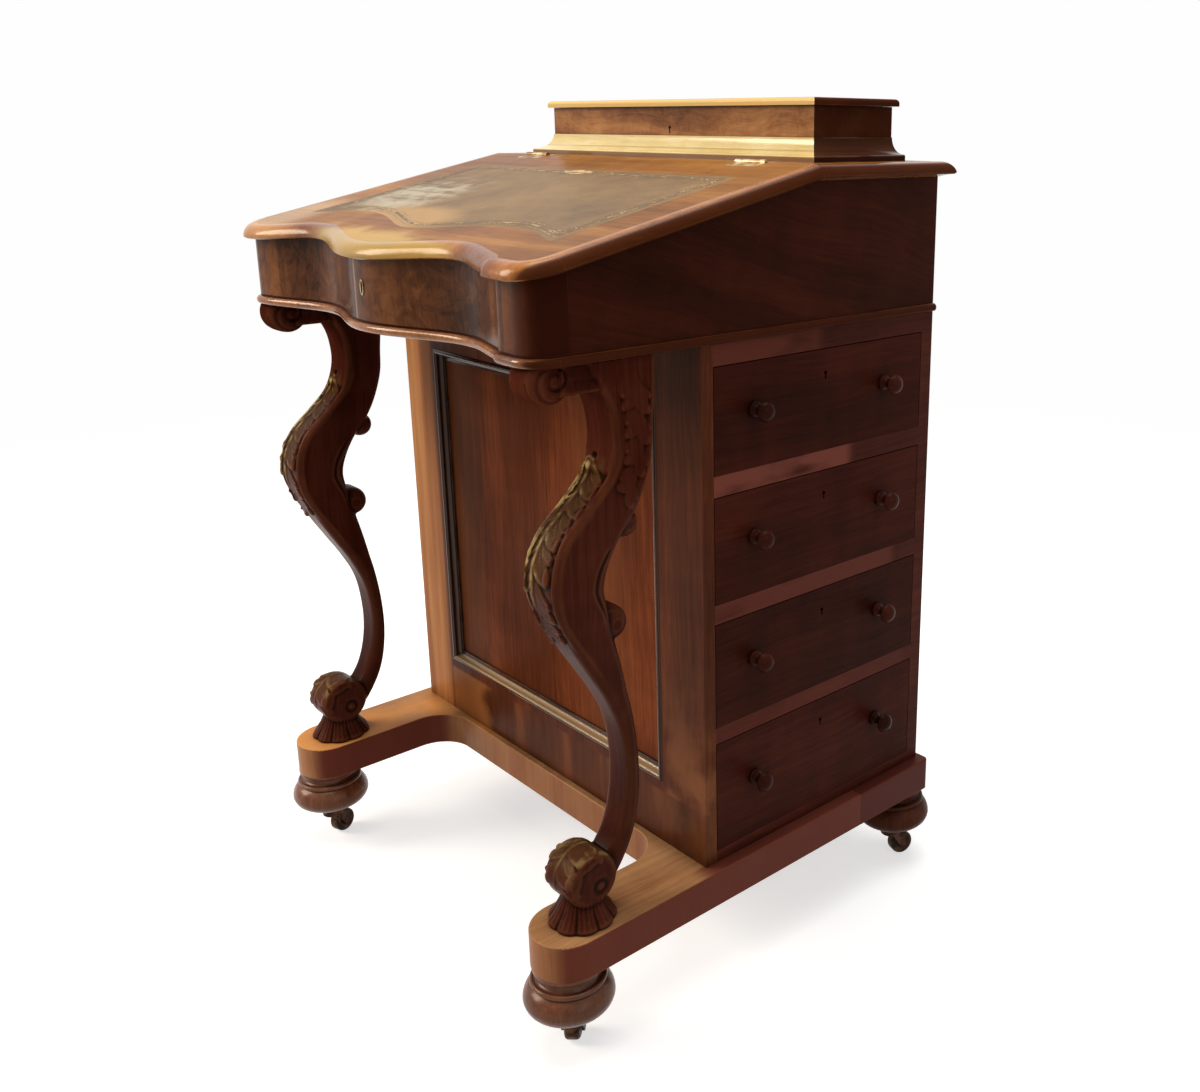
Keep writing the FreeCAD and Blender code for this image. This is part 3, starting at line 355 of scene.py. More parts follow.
def platform_patch(s, here):
    """A painted pool of light in gold on the top of the left arm; faces that don't face up are rosier;
    painted shade in red on the drawer side, with a darker piece at the rear.
    """
    x, y, _ = s.xyz(here)
    turn = s.facing()
    cloudy = s.step(s.noise(here, 14.0), 0.25, 0.6)
    # Painted light in gold on the top of the left arm.
    s.tint((222, 150, 76), s.step(x, -0.06, -0.16), s.step(turn[2], 0.5, 0.8), cloudy, 0.75)
    s.tint((136, 78, 52), s.step(turn[2], 0.6, 0.4), 0.5)
    # Painted shade, in red, on the drawer side and the ledge along it.
    shaded_ledge = s.times(s.step(x, 0.250, 0.254), s.step(y, -0.10, -0.07))
    side = s.math("MAXIMUM", s.step(turn[0], 0.5, 0.85), shaded_ledge)
    s.tint((98, 42, 35), side, 0.90)
    s.tint((68, 24, 23), side, s.step(y, 0.127, 0.129), 0.6)
    s.tint((24, 9, 7), side, s.between(y, 0.1265, 0.1285, 0.0004), 0.4)


def shaded_end(s, here):
    """Painted shade: the end facing the drawer side is darkened."""
    end = s.times(s.step(s.facing()[0], 0.30, 0.5), s.step(s.xyz(here)[0], 0.18, 0.19))
    s.tint((64, 28, 16), end, 0.93)


def gold_front(s, here):
    """The front edge of the stationery box's lid is gold, but for a line under it."""
    front = s.step(s.facing()[1], -0.25, -0.6)
    s.tint((224, 188, 116), front, 0.85)
    s.tint((92, 50, 26), front, s.step(s.xyz(here)[2], 0.8125, 0.8115), 0.8)
    shaded_end(s, here)


def gold_bow(s, here):
    """A painted reflection in yellow gold on the middle bow of the lid's edge, and a tan one at its left end.
    """
    x, y, _ = s.xyz(here)
    front = s.times(s.step(y, -0.215, -0.225), s.step(s.facing()[2], -0.2, 0.2))
    s.tint((174, 144, 72), s.between(x, -0.125, 0.120, 0.02), front, 0.7)
    s.tint((190, 140, 84), s.step(x, -0.150, -0.19), front, 0.5)
    shaded_end(s, here)


def cove_patch(s, here):
    """Gold in front, over a brown fillet; painted shade darkens the end on the drawer side, past the mitre.
    """
    x, y, z = s.xyz(here)
    s.tint((138, 84, 48), s.step(z, 0.7658, 0.7652), 0.85)
    s.tint((150, 108, 60), s.between(z, 0.7705, 0.7715, 0.0008), 0.5)
    s.tint((64, 28, 17), s.step(s.plus(x, y), 0.3136, 0.3140), s.step(x, 0.20, 0.204), 0.98)


def lid_patch(s, here):
    """The board is a pale gold in front of the leather, with a painted glare at its front left corner."""
    x, y, _ = s.xyz(here)
    cloud = s.times(s.noise(here, 26.0), 0.05)
    bow = s.between(s.plus(x, cloud), -0.100, 0.085, 0.02)
    front = s.times(s.step(s.plus(y, cloud), -0.175, -0.200), s.step(s.facing()[2], 0.3, 0.6))
    s.tint((184, 152, 86), bow, front, 0.7)
    # A painted glare at the front left corner.
    s.tint((196, 172, 140), s.step(x, -0.17, -0.21), s.step(y, -0.12, -0.18), 0.4)


def rear_shade(s, here):
    """Painted shade: the rear feet are darker."""
    s.tint((52, 20, 16), s.step(s.xyz(here)[1], 0.0, 0.1), 0.75)


# A dull gives the share of the polish that is lost.

def drawer_side(s, here):
    """The polish has gone dull on the drawer side."""
    return s.times(s.step(s.facing()[0], 0.25, 0.65), 0.97)


def up_the_neck(s, here):
    """The necks of the legs, under the box, hardly shine."""
    return s.step(s.xyz(here)[2], 0.49, 0.52)


def at_the_rear(s, here):
    """The rear feet hardly shine."""
    return s.times(s.step(s.xyz(here)[1], 0.0, 0.1), 0.85)


def pine(name, grain):
    return wood(name, grain, ((128, 82, 44), (172, 122, 72), (204, 160, 106)), seed=3.3, figure=0.35,
                streak=0.6, rough=0.62, spec=0.3, wear=0.2, bump=0.3)


# -------- brass, leather and gilding

def metal(name, bright, tarnish, rough, seed=0.0):
    """Aged brass with tarnish in the hollows."""
    s = Shader(bpy.data.materials.new(name))
    p = s.vmath("ADD", s.coords(), (seed, seed * 2, seed * 3))
    rubbed = s.step(s.noise(p, 90.0, 4.0, 0.6), 0.38, 0.66)
    colour = s.mix(s.times(rubbed, s.shade_and_tarnish(0.006, 0.0)), srgb(*tarnish), srgb(*bright))
    scratch = s.noise(s.stretch(p, (60.0, 900.0, 900.0)), 1.0, 2.0)
    gloss = s.plus(rough, s.times(rubbed, -0.12))
    return s.surface({"Base Color": colour, "Metallic": 1.0, "Roughness": gloss,
                      "Normal": s.bump(scratch, 0.15, 0.0002)})


def hide(name):
    """Aged writing leather: mottled olive brown, rubbed pale where arms have rested, partly as a painted
    glare there, and with a painted glare in front.
    """
    s = Shader(bpy.data.materials.new(name))
    p = s.coords()
    x, y, _ = s.xyz(p)
    flat = s.join(x, y, 0.0)
    mottle = s.noise(flat, 46.0, 4.0, 0.65)
    tone = s.plus(s.times(s.noise(flat, 7.0, 4.0, 0.6, 0.6), 0.65), s.times(mottle, 0.35))
    s.colour = s.ramp(tone, [(0.30, (74, 52, 26)), (0.48, (102, 76, 40)), (0.62, (118, 90, 50)),
                             (0.80, (138, 110, 68))])

    def distance(middle, stretch):
        """Distance from a point of the leather, on a stretched scale."""
        return s.size(s.stretch(s.vmath("SUBTRACT", flat, (*middle, 0)), (*stretch, 1.0)))

    def spot(middle, stretch, radius, ragged):
        """A soft round place with a ragged rim."""
        off = s.plus(distance(middle, stretch), s.times(s.noise(flat, 34.0, 4.0, 0.7), ragged))
        return s.step(off, radius, radius * 0.55)

    streaks = s.noise(s.stretch(flat, (4.0, 40.0, 1.0)), 1.0, 4.0, 0.7)
    # Worn pale on the left, and partly a painted glare.
    rubbed = s.times(spot((-0.140, -0.105), (1.0, 1.1), 0.115, 0.06),
                     s.step(s.plus(streaks, s.times(mottle, 0.5)), 0.60, 0.86))
    s.tint((176, 164, 134), rubbed, 0.6)
    # A painted glare in front, near the middle bow.
    s.tint((190, 148, 92), spot((-0.05, -0.175), (0.7, 1.6), 0.085, 0.02), 0.45)
    chip = s.plus(distance((-0.015, -0.001), (0.42, 1.5)), s.times(s.noise(flat, 150.0), 0.014))
    s.tint((216, 180, 124), s.step(chip, 0.0175, 0.0155), 0.85)
    crease = s.noise(s.stretch(flat, (1.0, 3.0, 1.0)), 30.0, 5.0, 0.7)
    s.tint((52, 34, 18), s.step(crease, 0.60, 0.72), 0.35)
    scratch = s.noise(s.stretch(flat, (16.0, 260.0, 1.0)), 1.0, 3.0, 0.6)
    s.tint((182, 150, 104), s.step(scratch, 0.68, 0.74), 0.3)
    pebble = s.cells(p, 950.0, feature="SMOOTH_F1")
    relief = s.plus(s.times(pebble, 0.5), s.times(s.noise(flat, 14.0), 2.2))
    return s.surface({"Base Color": s.colour, "Roughness": s.math("SUBTRACT", 0.44, s.times(rubbed, 0.14)),
                      "Specular IOR Level": 0.22, "Specular Tint": (1.0, 0.86, 0.66, 1),
                      "Normal": s.bump(relief, 0.35, 0.0007)})


def gilding(name, worn):
    """Gold pressed into the leather, rubbed away in places."""
    s = Shader(bpy.data.materials.new(name))
    p = s.coords()
    left = s.step(s.noise(p, 60.0, 4.0, 0.7), worn, worn + 0.12)
    s.colour = srgb(88, 66, 36)
    s.tint((182, 150, 96), left, s.step(s.cells(p, 420.0), 0.55, 0.35))
    return s.surface({"Base Color": s.colour, "Roughness": 0.45, "Specular IOR Level": 0.3})


CARVED = wood(
    "carved_wood", "Z", ((44, 17, 11), (64, 26, 17), (88, 42, 29)), seed=17.5, rings=4.0, streak=0.4,
    rough=0.28, spec=0.025, carved=True, wear=0.25, wear_tone=(120, 74, 46), shade_and_tarnish=0.3, dull=up_the_neck)
GILT_LINE = gilding("gilt_line", 0.36)
GILT_BAND = gilding("gilt_band", 0.46)
# each finish, after the names of the nodes that take it
FINISHES = {
    "drawer_*_front false_fronts": wood(
        "drawer_front_wood", "Y", ((38, 13, 8), (58, 22, 14), (80, 34, 23)), seed=1.1, rings=4.0,
        rough=0.40),
    "carcass_boards rear_posts": wood(
        "rail_wood", "Y", ((50, 20, 14), (72, 31, 23), (96, 46, 34)), seed=2.2, streak=0.6, rough=0.40,
        spec=0.04, wear=0.35, patch=rail_patch),
    "box_floor box_walls": wood(
        "box_side_wood", "Y", ((36, 13, 7), (54, 21, 12), (72, 31, 18)), seed=4.6, figure=0.6, rough=0.38,
        burr=0.12, tilt=0.25),
    "box_front": wood(
        "box_front_wood", "Z", ((50, 26, 12), (92, 53, 29), (126, 78, 42)), seed=5.2, rings=4.0,
        figure=0.6, streak=0.3, rough=0.22, spec=0.08, coat=0.03, burr=0.6, patch=box_front_patch,
        dull=drawer_side),
    "front_frame": wood(
        "frame_wood", "Z", ((60, 27, 14), (86, 42, 23), (116, 62, 34)), seed=6.3, rings=6.0, figure=0.7,
        streak=0.7, rough=0.36, spec=0.05, patch=frame_patch),
    "front_panel": wood(
        "panel_wood", "Z", ((64, 28, 12), (100, 47, 22), (132, 68, 36)), seed=7.9, figure=0.6, streak=0.8,
        rough=0.32, spec=0.02, book=0.004, patch=panel_patch),
    "platform": wood(
        "platform_wood", "Y", ((132, 90, 58), (168, 122, 82), (196, 152, 108)), seed=8.4, rings=6.0,
        streak=0.4, rough=0.36, spec=0.06, wear=0.4, banded=True, patch=platform_patch),
    "shelf writing_lid": wood(
        "lid_wood", "X", ((82, 47, 17), (122, 76, 30), (156, 106, 48)), seed=9.1, figure=0.6, rough=0.30,
        coat=0.01, patch=lid_patch),
    "box_bead shelf_moulding": wood(
        "moulding_wood", "Y", ((76, 36, 14), (122, 68, 28), (176, 114, 54)), seed=10.2, rings=4.0,
        streak=0.4, rough=0.18, spec=0.35, coat=0.12, wear=0.25, patch=shaded_end, dull=drawer_side),
    "lid_moulding": wood(
        "lid_moulding_wood", "Y", ((84, 42, 16), (128, 72, 30), (176, 114, 54)), seed=10.2, rings=4.0,
        streak=0.4, rough=0.20, spec=0.25, coat=0.05, wear=0.25, patch=gold_bow, dull=drawer_side),
    "panel_moulding": wood(
        "panel_moulding_wood", "Z", ((34, 15, 10), (56, 28, 18), (84, 48, 32)), seed=11.3, rings=4.0,
        figure=0.6, streak=0.6, rough=0.20, spec=0.2, coat=0.2, wear=0.5, wear_tone=(168, 138, 110),
        patch=panel_mould_patch),
    "stationery_walls": wood(
        "stationery_wood", "X", ((88, 50, 26), (138, 90, 52), (176, 126, 78)), seed=12.7, rings=6.0,
        figure=0.8, rough=0.24, spec=0.15, coat=0.06, burr=0.5, patch=shaded_end, dull=drawer_side),
    "stationery_lid": wood(
        "stationery_top_wood", "X", ((88, 46, 22), (128, 76, 42), (166, 112, 66)), seed=12.1, figure=0.7,
        rough=0.26, spec=0.15, coat=0.06, patch=gold_front, dull=drawer_side),
    "stationery_moulding": wood(
        "cove_wood", "X", ((170, 132, 76), (208, 182, 118), (228, 212, 156)), seed=13.2, rings=4.0,
        streak=0.4, rough=0.16, spec=0.4, coat=0.3, patch=cove_patch, dull=drawer_side),
    "bun_feet": wood(
        "turned_wood", "Z", ((60, 30, 18), (96, 52, 33), (134, 84, 58)), seed=14.9, rings=6.0, figure=0.7,
        spec=0.28, coat=0.10, patch=rear_shade, dull=at_the_rear),
    "*_knobs": wood(
        "knob_wood", "X", ((36, 13, 9), (54, 21, 15), (72, 31, 22)), seed=15.4, rings=6.0, figure=0.6,
        streak=0.3, rough=0.22, spec=0.04, wear=0.1, shade_and_tarnish=0.7),
    "back_panel": wood(
        "back_wood", "Z", ((62, 32, 19), (98, 56, 34), (132, 84, 54)), seed=16.8, rings=8.0, figure=0.9,
        streak=0.8, rough=0.45, spec=0.1),
    "drawer_*_sides": pine("drawer_lining_wood", "X"),
    "drawer_*_floor": pine("drawer_floor_wood", "Y"),
    "lid_leather": hide("writing_leather"),
    "*_leaves hinge_pins box_escutcheon": metal("aged_brass", (206, 184, 144), (132, 102, 66), 0.48),
    "castor_sockets castor_fork_* castor_axle_*": metal("dark_brass", (74, 48, 36), (44, 26, 20), 0.5, 2.0),
    "castor_wheel_*": metal("roller_brass", (80, 56, 38), (34, 24, 18), 0.5, 4.0),
    "scroll_leg_*": CARVED,
}


def dress(obj, finish):
    """Gives a whole object one finish."""
    if not obj.material_slots:
        obj.data.materials.append(finish)
    for slot in obj.material_slots:
        slot.material = finish


for patterns, finish in FINISHES.items():
    for pattern in patterns.split():
        for node in fnmatch.filter(NODES, pattern):
            dress(NODES[node], finish)


# -------- plain form of a leg, in mm

LEG_X = 0.234                      # metres from the middle of the desk
CENTRING = -5.25                   # from the working line of the CAD's values to the frame
TOP, FOOT = 616.0, 124.0
FULL, SLIM = 44.0, 32.0
# front (y, z), back (y, z), width and rounding of each section
LEG = np.array([
    (-186, TOP, -117, TOP, FULL, 4), (-165, TOP - 32, -117, TOP - 31, FULL, 5),
    (-159, TOP - 56, -119, TOP - 58, FULL, 6), (-160, TOP - 77, -121, TOP - 82, FULL, 6),
    (-169, TOP - 99, -129, TOP - 107, FULL, 6), (-186, TOP - 117, -141, TOP - 129, FULL + 1, 6),
    (-210, TOP - 139, -157, TOP - 149, FULL + 2, 7), (-222, TOP - 161, -168, TOP - 169, FULL + 2, 7),
    (-224, TOP - 184, -172, TOP - 186, FULL + 2, 8), (-218, TOP - 205, -169.5, TOP - 203, FULL + 1, 8),
    (-205, TOP - 231, -165, TOP - 221, FULL - 2, 9), (-185, TOP - 264, -158, TOP - 244, FULL - 6, 9),
    (-170, FOOT + 203, -151, FOOT + 221, SLIM + 4, 9), (-157, FOOT + 174, -143, FOOT + 185, SLIM + 1, 10),
    (-151.5, FOOT + 141, -138, FOOT + 144, SLIM, 10), (-152, FOOT + 111, -138, FOOT + 106, SLIM, 10),
    (-159, FOOT + 82, -144, FOOT + 72, SLIM, 9), (-171, FOOT + 60, -157, FOOT + 46, SLIM + 1, 9),
    (-203, FOOT + 24, -177, FOOT + 20, SLIM + 2, 9)], float)
VOLUTE = (-212.5, 605.5, 20.0)     # middle (y, z) and radius
TOE = (-193.0, 167.0, 25.0)
TOE_EYE = (-188.0, 161.0)
# middle (y, z), radius, width and rounding of the drums
DRUMS = ((*VOLUTE, 39, 11), (-146, 478, 12.5, 40, 10), (-161, 394, 15.0, 40, 12), (*TOE, 41, 6))
# half width, y from and to, z from and to: the web behind the volute, and the block under the box
SLABS = ((20.5, -208, -172, 593, 612), (21, -206, -150, 605, 619))
SKIRT_Y = -194.0
# height and half widths (x, y) of the spreading foot
SKIRT = ((166, 14, 12), (156, 16, 14), (148, 18, 16.5), (142, 20, 19.5), (136, 22.5, 23),
         (131, 25.5, 27), (127.5, 28.5, 29.5), (125.4, 29.3, 30.3), (124.0, 28.5, 29.5))
VOXEL = 0.0010


def spline_rows(rows, count):
    """Catmull-Rom through the rows, evenly by row number."""
    n = len(rows)
    t = np.linspace(0, n - 1, count)
    i = np.clip(t.astype(int), 0, n - 2)
    f = (t - i)[:, None]
    pad = np.vstack([2 * rows[0] - rows[1], rows, 2 * rows[-1] - rows[-2]])
    a, b, c, d = pad[i], pad[i + 1], pad[i + 2], pad[i + 3]
    return 0.5 * (2 * b + (c - a) * f + (2 * a - 5 * b + 4 * c - d) * f ** 2
                  + (3 * b - a - 3 * c + d) * f ** 3)


def add_object(name, data):
    obj = bpy.data.objects.new(name, data)
    bpy.context.collection.objects.link(obj)
    return obj


def add_mesh(name, bm):
    """Ends a bmesh as an object of the scene."""
    mesh = bpy.data.meshes.new(name)
    bm.to_mesh(mesh)
    bm.free()
    return add_object(name, mesh)


def skin(bm, a, b):
    """Faces between two closed loops of vertices."""
    for k in range(len(a)):
        m = (k + 1) % len(a)
        bm.faces.new((a[k], a[m], b[m], b[k]))


def rounded_ring(half_w, half_d, radius, per=7):
    """A rounded rectangle, as (across, towards the front)."""
    points = []
    for sx, sd, start in ((1, 1, 0), (-1, 1, 90), (-1, -1, 180), (1, -1, 270)):
        for k in range(per):
            angle = math.radians(start + 90 * k / (per - 1))
            points.append((sx * (half_w - radius) + radius * math.cos(angle),
                           sd * (half_d - radius) + radius * math.sin(angle)))
    return points


def tube(bm, rings):
    """Skins a closed form over rings of equal length."""
    loops = [[bm.verts.new(p) for p in ring] for ring in rings]
    for a, b in zip(loops, loops[1:]):
        skin(bm, a, b)
    bm.faces.new(reversed(loops[0]))
    bm.faces.new(loops[-1])


def leg_body(bm):
    """The leg's sections, from the top down, with a cap that rises 3 mm into the box."""
    rings = []
    for fy, fz, by, bz, width, radius in spline_rows(LEG, 150):
        mid = ((fy + by) / 2, (fz + bz) / 2)
        deep = math.hypot(fy - by, fz - bz) / 2
        to = ((fy - mid[0]) / deep, (fz - mid[1]) / deep)
        radius = min(radius, deep - 1.5)
        rings.append([(a, mid[0] + b * to[0], mid[1] + b * to[1])
                      for a, b in rounded_ring(width / 2, deep, radius)])
    rings.insert(0, [(a, b, c + 3) for a, b, c in rings[0]])
    tube(bm, rings)


def cushion_drum(bm, y, z, radius, width, soft):
    """A short drum across the leg with soft rims."""
    half = width / 2
    profile = [(-half, radius * 0.4)]
    for k in range(7):
        angle = math.radians(90 * k / 6)
        profile.append((-half + soft - soft * math.cos(angle), radius - soft + soft * math.sin(angle)))
    profile += [(-x, r) for x, r in reversed(profile)]
    turns = np.linspace(0, 2 * math.pi, 48, endpoint=False)
    tube(bm, [[(x, y + r * math.cos(a), z + r * math.sin(a)) for a in turns] for x, r in profile])


def slab(bm, half, front, back, low, high):
    corners = ((-half, front), (half, front), (half, back), (-half, back))
    tube(bm, [[(x, y, z) for x, y in corners] for z in (low, high)])


def leaf_skirt(bm):
    """The spreading foot before its flutes are cut."""
    turns = np.linspace(0, 2 * math.pi, 72, endpoint=False)
    tube(bm, [[(hx * math.cos(a), SKIRT_Y + hy * math.sin(a), z) for a in turns] for z, hx, hy in SKIRT])


def remesh(obj):
    """Joins the overlapping forms of a mesh into one skin."""
    mod = obj.modifiers.new("skin", "REMESH")
    mod.mode = "VOXEL"
    mod.voxel_size = VOXEL
    mod.use_smooth_shade = True
    dg = bpy.context.evaluated_depsgraph_get()
    mesh = bpy.data.meshes.new_from_object(obj.evaluated_get(dg))
    obj.modifiers.clear()
    old = obj.data
    obj.data = mesh
    bpy.data.meshes.remove(old)


# -------- vertices as arrays

def vertex_data(mesh):
    """Places and normals of the vertices."""
    n = len(mesh.vertices)
    co, no = np.empty(n * 3), np.empty(n * 3)
    mesh.vertices.foreach_get("co", co)
    mesh.vertices.foreach_get("normal", no)
    return co.reshape(-1, 3), no.reshape(-1, 3)


def move_vertices(mesh, co):
    mesh.vertices.foreach_set("co", co.ravel())
    mesh.update()


def neighbour_mean(mesh):
    """A function that gives, for each vertex, the mean place of the vertices joined to it."""
    n = len(mesh.vertices)
    edges = np.empty(len(mesh.edges) * 2, int)
    mesh.edges.foreach_get("vertices", edges)
    first, second = edges[0::2].copy(), edges[1::2].copy()
    degree = np.maximum(np.bincount(edges, minlength=n), 1)

    def mean(co):
        columns = [np.bincount(first, column[second], n) + np.bincount(second, column[first], n)
                   for column in co.T]
        return np.stack(columns, 1) / degree[:, None]
    return mean


def relax(mesh, rounds, amount):
    """Plain smoothing of the vertices."""
    mean = neighbour_mean(mesh)
    co, _ = vertex_data(mesh)
    for _ in range(rounds):
        co += amount * (mean(co) - co)
    move_vertices(mesh, co)


def store(mesh, name, value):
    """Keeps a number for every vertex, which the finish reads."""
    layer = mesh.attributes.new(name, "FLOAT", "POINT")
    layer.data.foreach_set("value", value.astype(np.float32))


def mark_form(mesh, rounds=14):
    """Stores how hollow (0) or proud (1) the carving is, for the finish."""
    mean = neighbour_mean(mesh)
    co, no = vertex_data(mesh)
    soft = co
    for _ in range(rounds):
        soft = mean(soft)
    proud = ((co - soft) * no).sum(1) / MM
    store(mesh, "form", np.clip(0.5 + proud * 0.75, 0, 1))


# -------- carving, in mm

RIB = -9.0                         # left of the middle of the leg's front
NECK_LEAF_RIB = -2.0
TOE_RIB = -4.0
SPIRAL_PITCH = 11.0
CHUNK = 20000                      # vertices handled at a time


def ease(x, none, full):
    """Rises softly from 0 at one limit to 1 at the other."""
    t = np.clip((x - none) / (full - none), 0, 1)
    return t * t * (3 - 2 * t)


def window(x, none, full, still, gone):
    """Rises softly from 0 to 1 over the first two limits, and falls again over the last two."""
    return ease(x, none, full) * (1 - ease(x, still, gone))


def bell(x, width):
    return np.exp(-(x / width) ** 2)


def dome(x, half):
    """A half circle of height 1 over -half to half."""
    return np.sqrt(np.clip(1 - (x / half) ** 2, 0, 1))


class LegSurface:
    """Where each vertex of a leg lies on it. hand is +1 for the right leg and -1 for the left."""

    def __init__(self, mesh, hand):
        co, self.normal = vertex_data(mesh)
        self.x, self.y, self.z = (co / MM).T
        self.wide = np.abs(self.x)
        rows = spline_rows(LEG, 900)
        front, back = rows[:, 0:2], rows[:, 2:4]
        self.mid = (front + back) / 2
        half_deep = np.linalg.norm(front - back, axis=1) / 2
        to_front = (front - self.mid) / half_deep[:, None]
        runs = np.linalg.norm(np.diff(self.mid, axis=0), axis=1)
        self.length = np.concatenate([[0], np.cumsum(runs)])
        place = np.stack([self.y, self.z], 1)
        near = np.concatenate([((place[k:k + CHUNK, None] - self.mid) ** 2).sum(2).argmin(1)
                               for k in range(0, len(place), CHUNK)])
        self.along = self.length[near]
        self.ahead = ((place - self.mid[near]) * to_front[near]).sum(1)
        self.half_wide = rows[near, 4] / 2
        self.behind_front = np.maximum(half_deep[near] - self.ahead, 0)
        self.before_back = np.maximum(half_deep[near] + self.ahead, 0)
        self.facing = (self.normal[:, 1:] * to_front[near]).sum(1)
        self.sideways = np.abs(self.normal[:, 0])
        self.sides = ease(self.sideways, 0.55, 0.85)
        self.outer = self.sides * (self.x * hand > 0)
        # distance from the middle of the front, round the corner and on over the side
        self.around = np.sign(self.x) * (self.wide + self.behind_front * (self.wide > self.half_wide - 9))

    def at(self, level):
        """How far down the leg its centre line passes a level."""
        return self.length[np.argmin(np.abs(self.mid[:, 1] - level))]

    def stretch(self, *levels):
        """A window down the leg, given by the levels of its limits."""
        return window(self.along, *(self.at(level) for level in levels))

    def polar(self, y, z):
        """Distance from a point of the side view, and the offsets towards the front and up."""
        return np.hypot(self.y - y, self.z - z), y - self.y, self.z - z


def frond(p, q, start, length, root, tip, half, amp):
    """One scooped lobe of a leaf: it leaves the rib at root, bends out to tip and turns up at its end."""
    t = np.linspace(0, 1, 16)
    line_p = start + length * (t - 0.25 * t ** 3)
    line_q = root + (tip - root) * t ** 1.7
    height = np.zeros_like(p)
    close = np.flatnonzero((p > start - half - 4) & (p < start + length + half + 4)
                           & (q > min(root, tip) - half - 4) & (q < max(root, tip) + half + 4))
    if not len(close):
        return height
    near = np.hypot(p[close][:, None] - line_p, q[close][:, None] - line_q)
    k = near.argmin(1)
    away = near[np.arange(len(close)), k]
    at = t[k]
    wide = half * (0.38 + 0.62 * np.sin(math.pi * np.clip(0.12 + 0.80 * at, 0, 1))) + 0.01
    u = np.clip(away / wide, 0, 1)
    side = np.sign(p[close] - line_p[k])
    scoop = (1 - u ** 7) * (0.55 + 0.45 * u ** 2) * (0.86 + 0.14 * side * u)
    body = scoop * (0.30 + 0.62 * at ** 0.8)
    vein = 0.10 * bell(away, 0.9) * window(at, 0.05, 0.3, 0.6, 0.9)
    tip_off = np.hypot((p[close] - line_p[-1] + 0.5) / 1.5, q[close] - line_q[-1])
    roll = 0.6 * dome(tip_off, 0.34 * half)
    height[close] = np.maximum(body + vein * (body > 0), roll + 0.35 * body) * amp
    return height


def leaf_spray(p, q, starts, length, root, left, right, half, amp, fall):
    """Split lobes on both sides of a rib at q = root, each over the next; the last is smaller by fall."""
    height = np.zeros_like(p)
    for k, start in enumerate(starts):
        size = 1 - fall * k / max(1, len(starts) - 1)
        deep = amp * (0.55 + 0.45 * size)
        for tip, width, late in ((left, 0.62 * half, 9.0), (right, half, 0.0)):
            reach = (tip - root) * size
            lobe = frond(p, q, start + late, length * size, root, root + reach, width * size, deep)
            side = frond(p, q, start + late + 3.0, 0.55 * length * size, root + 0.3 * reach,
                         root + 1.12 * reach, 0.5 * width * size, 0.95 * deep)
            height = np.maximum(height, np.maximum(lobe, side))
    return height


def acanthus_strip(leg):
    """Leaves in a sunk bed down the front, from the neck to below the knee, in a smooth arris."""
    start, end = leg.at(522), leg.at(378)
    bed = window(leg.along, start + 2, start + 12, end - 40, end)
    height = -2.0 * bed * (1 - ease(np.abs(leg.around - 1.5), 16.5, 18.5)) * (leg.facing > 0.2)
    lobes = start + np.array([0.0, 21.0, 46.0, 68.0, 95.0, 117.0])
    strip = leaf_spray(leg.along, leg.around, lobes, length=44.0, root=RIB, left=-17.5, right=13.5,
                       half=12.0, amp=4.0, fall=0.25)
    rib = 1.9 * dome(leg.around - RIB, 4.2) * window(leg.along, start - 8, start + 6, end - 52, end - 8)
    strip = np.maximum(strip, rib) * (1 - 0.45 * ease(np.abs(leg.around), 15.0, 19.0))
    front = ease(leg.facing, -0.45, 0.05) * ease(leg.behind_front, 15, 9)
    height += front * strip * (1 - ease(leg.along, end - 6, end + 4))
    eyelet = np.hypot(leg.along - leg.at(530), leg.around + 5.0)
    height -= 2.4 * bell(eyelet, 2.6) * (leg.facing > 0.5)
    from_front = leg.behind_front * (leg.wide > leg.half_wide - 6) * (leg.sideways > 0.35)
    return height + 0.5 * leg.stretch(548, 534, 372, 340) * bell(from_front - 7.0, 2.2) * leg.sides


def back_lines(leg):
    """Lines that follow the hollow back between the scroll ends and run on as a chamfer."""
    merge = 1 - 0.45 * ease(leg.along, leg.at(425), leg.at(395))
    lines = np.zeros_like(leg.x)
    for place, width, rise in ((8.0, 1.5, 0.75), (11.0, 1.1, -0.8), (14.0, 1.5, 0.6), (5.2, 1.0, -0.7)):
        lines += rise * bell(leg.before_back - place * merge, width)
    chamfer = 0.9 * leg.stretch(388, 368, 215, 195) * ease(leg.before_back, 6.0, 1.0)
    return (lines * leg.stretch(482, 466, 398, 388) - chamfer) * leg.sides


def neck_leaf(leg):
    """A low leaf on the outer side of the neck, and a soft rim along its back."""
    start, end = leg.at(606), leg.at(486)
    sway = leg.ahead + 1.4 * np.sin(leg.along / 4.2)
    lobes = start + np.array([0.0, 26.0, 52.0, 78.0])
    leaf = leaf_spray(leg.along, sway, lobes, length=36.0, root=NECK_LEAF_RIB, left=-14.0, right=8.0,
                      half=11.0, amp=1.5, fall=0.2)
    leaf *= window(leg.along, start, start + 5, end - 8, end) * leg.outer
    return leaf + 0.8 * leg.stretch(606, 590, 500, 484) * bell(leg.before_back - 3.6, 1.6) * leg.sides


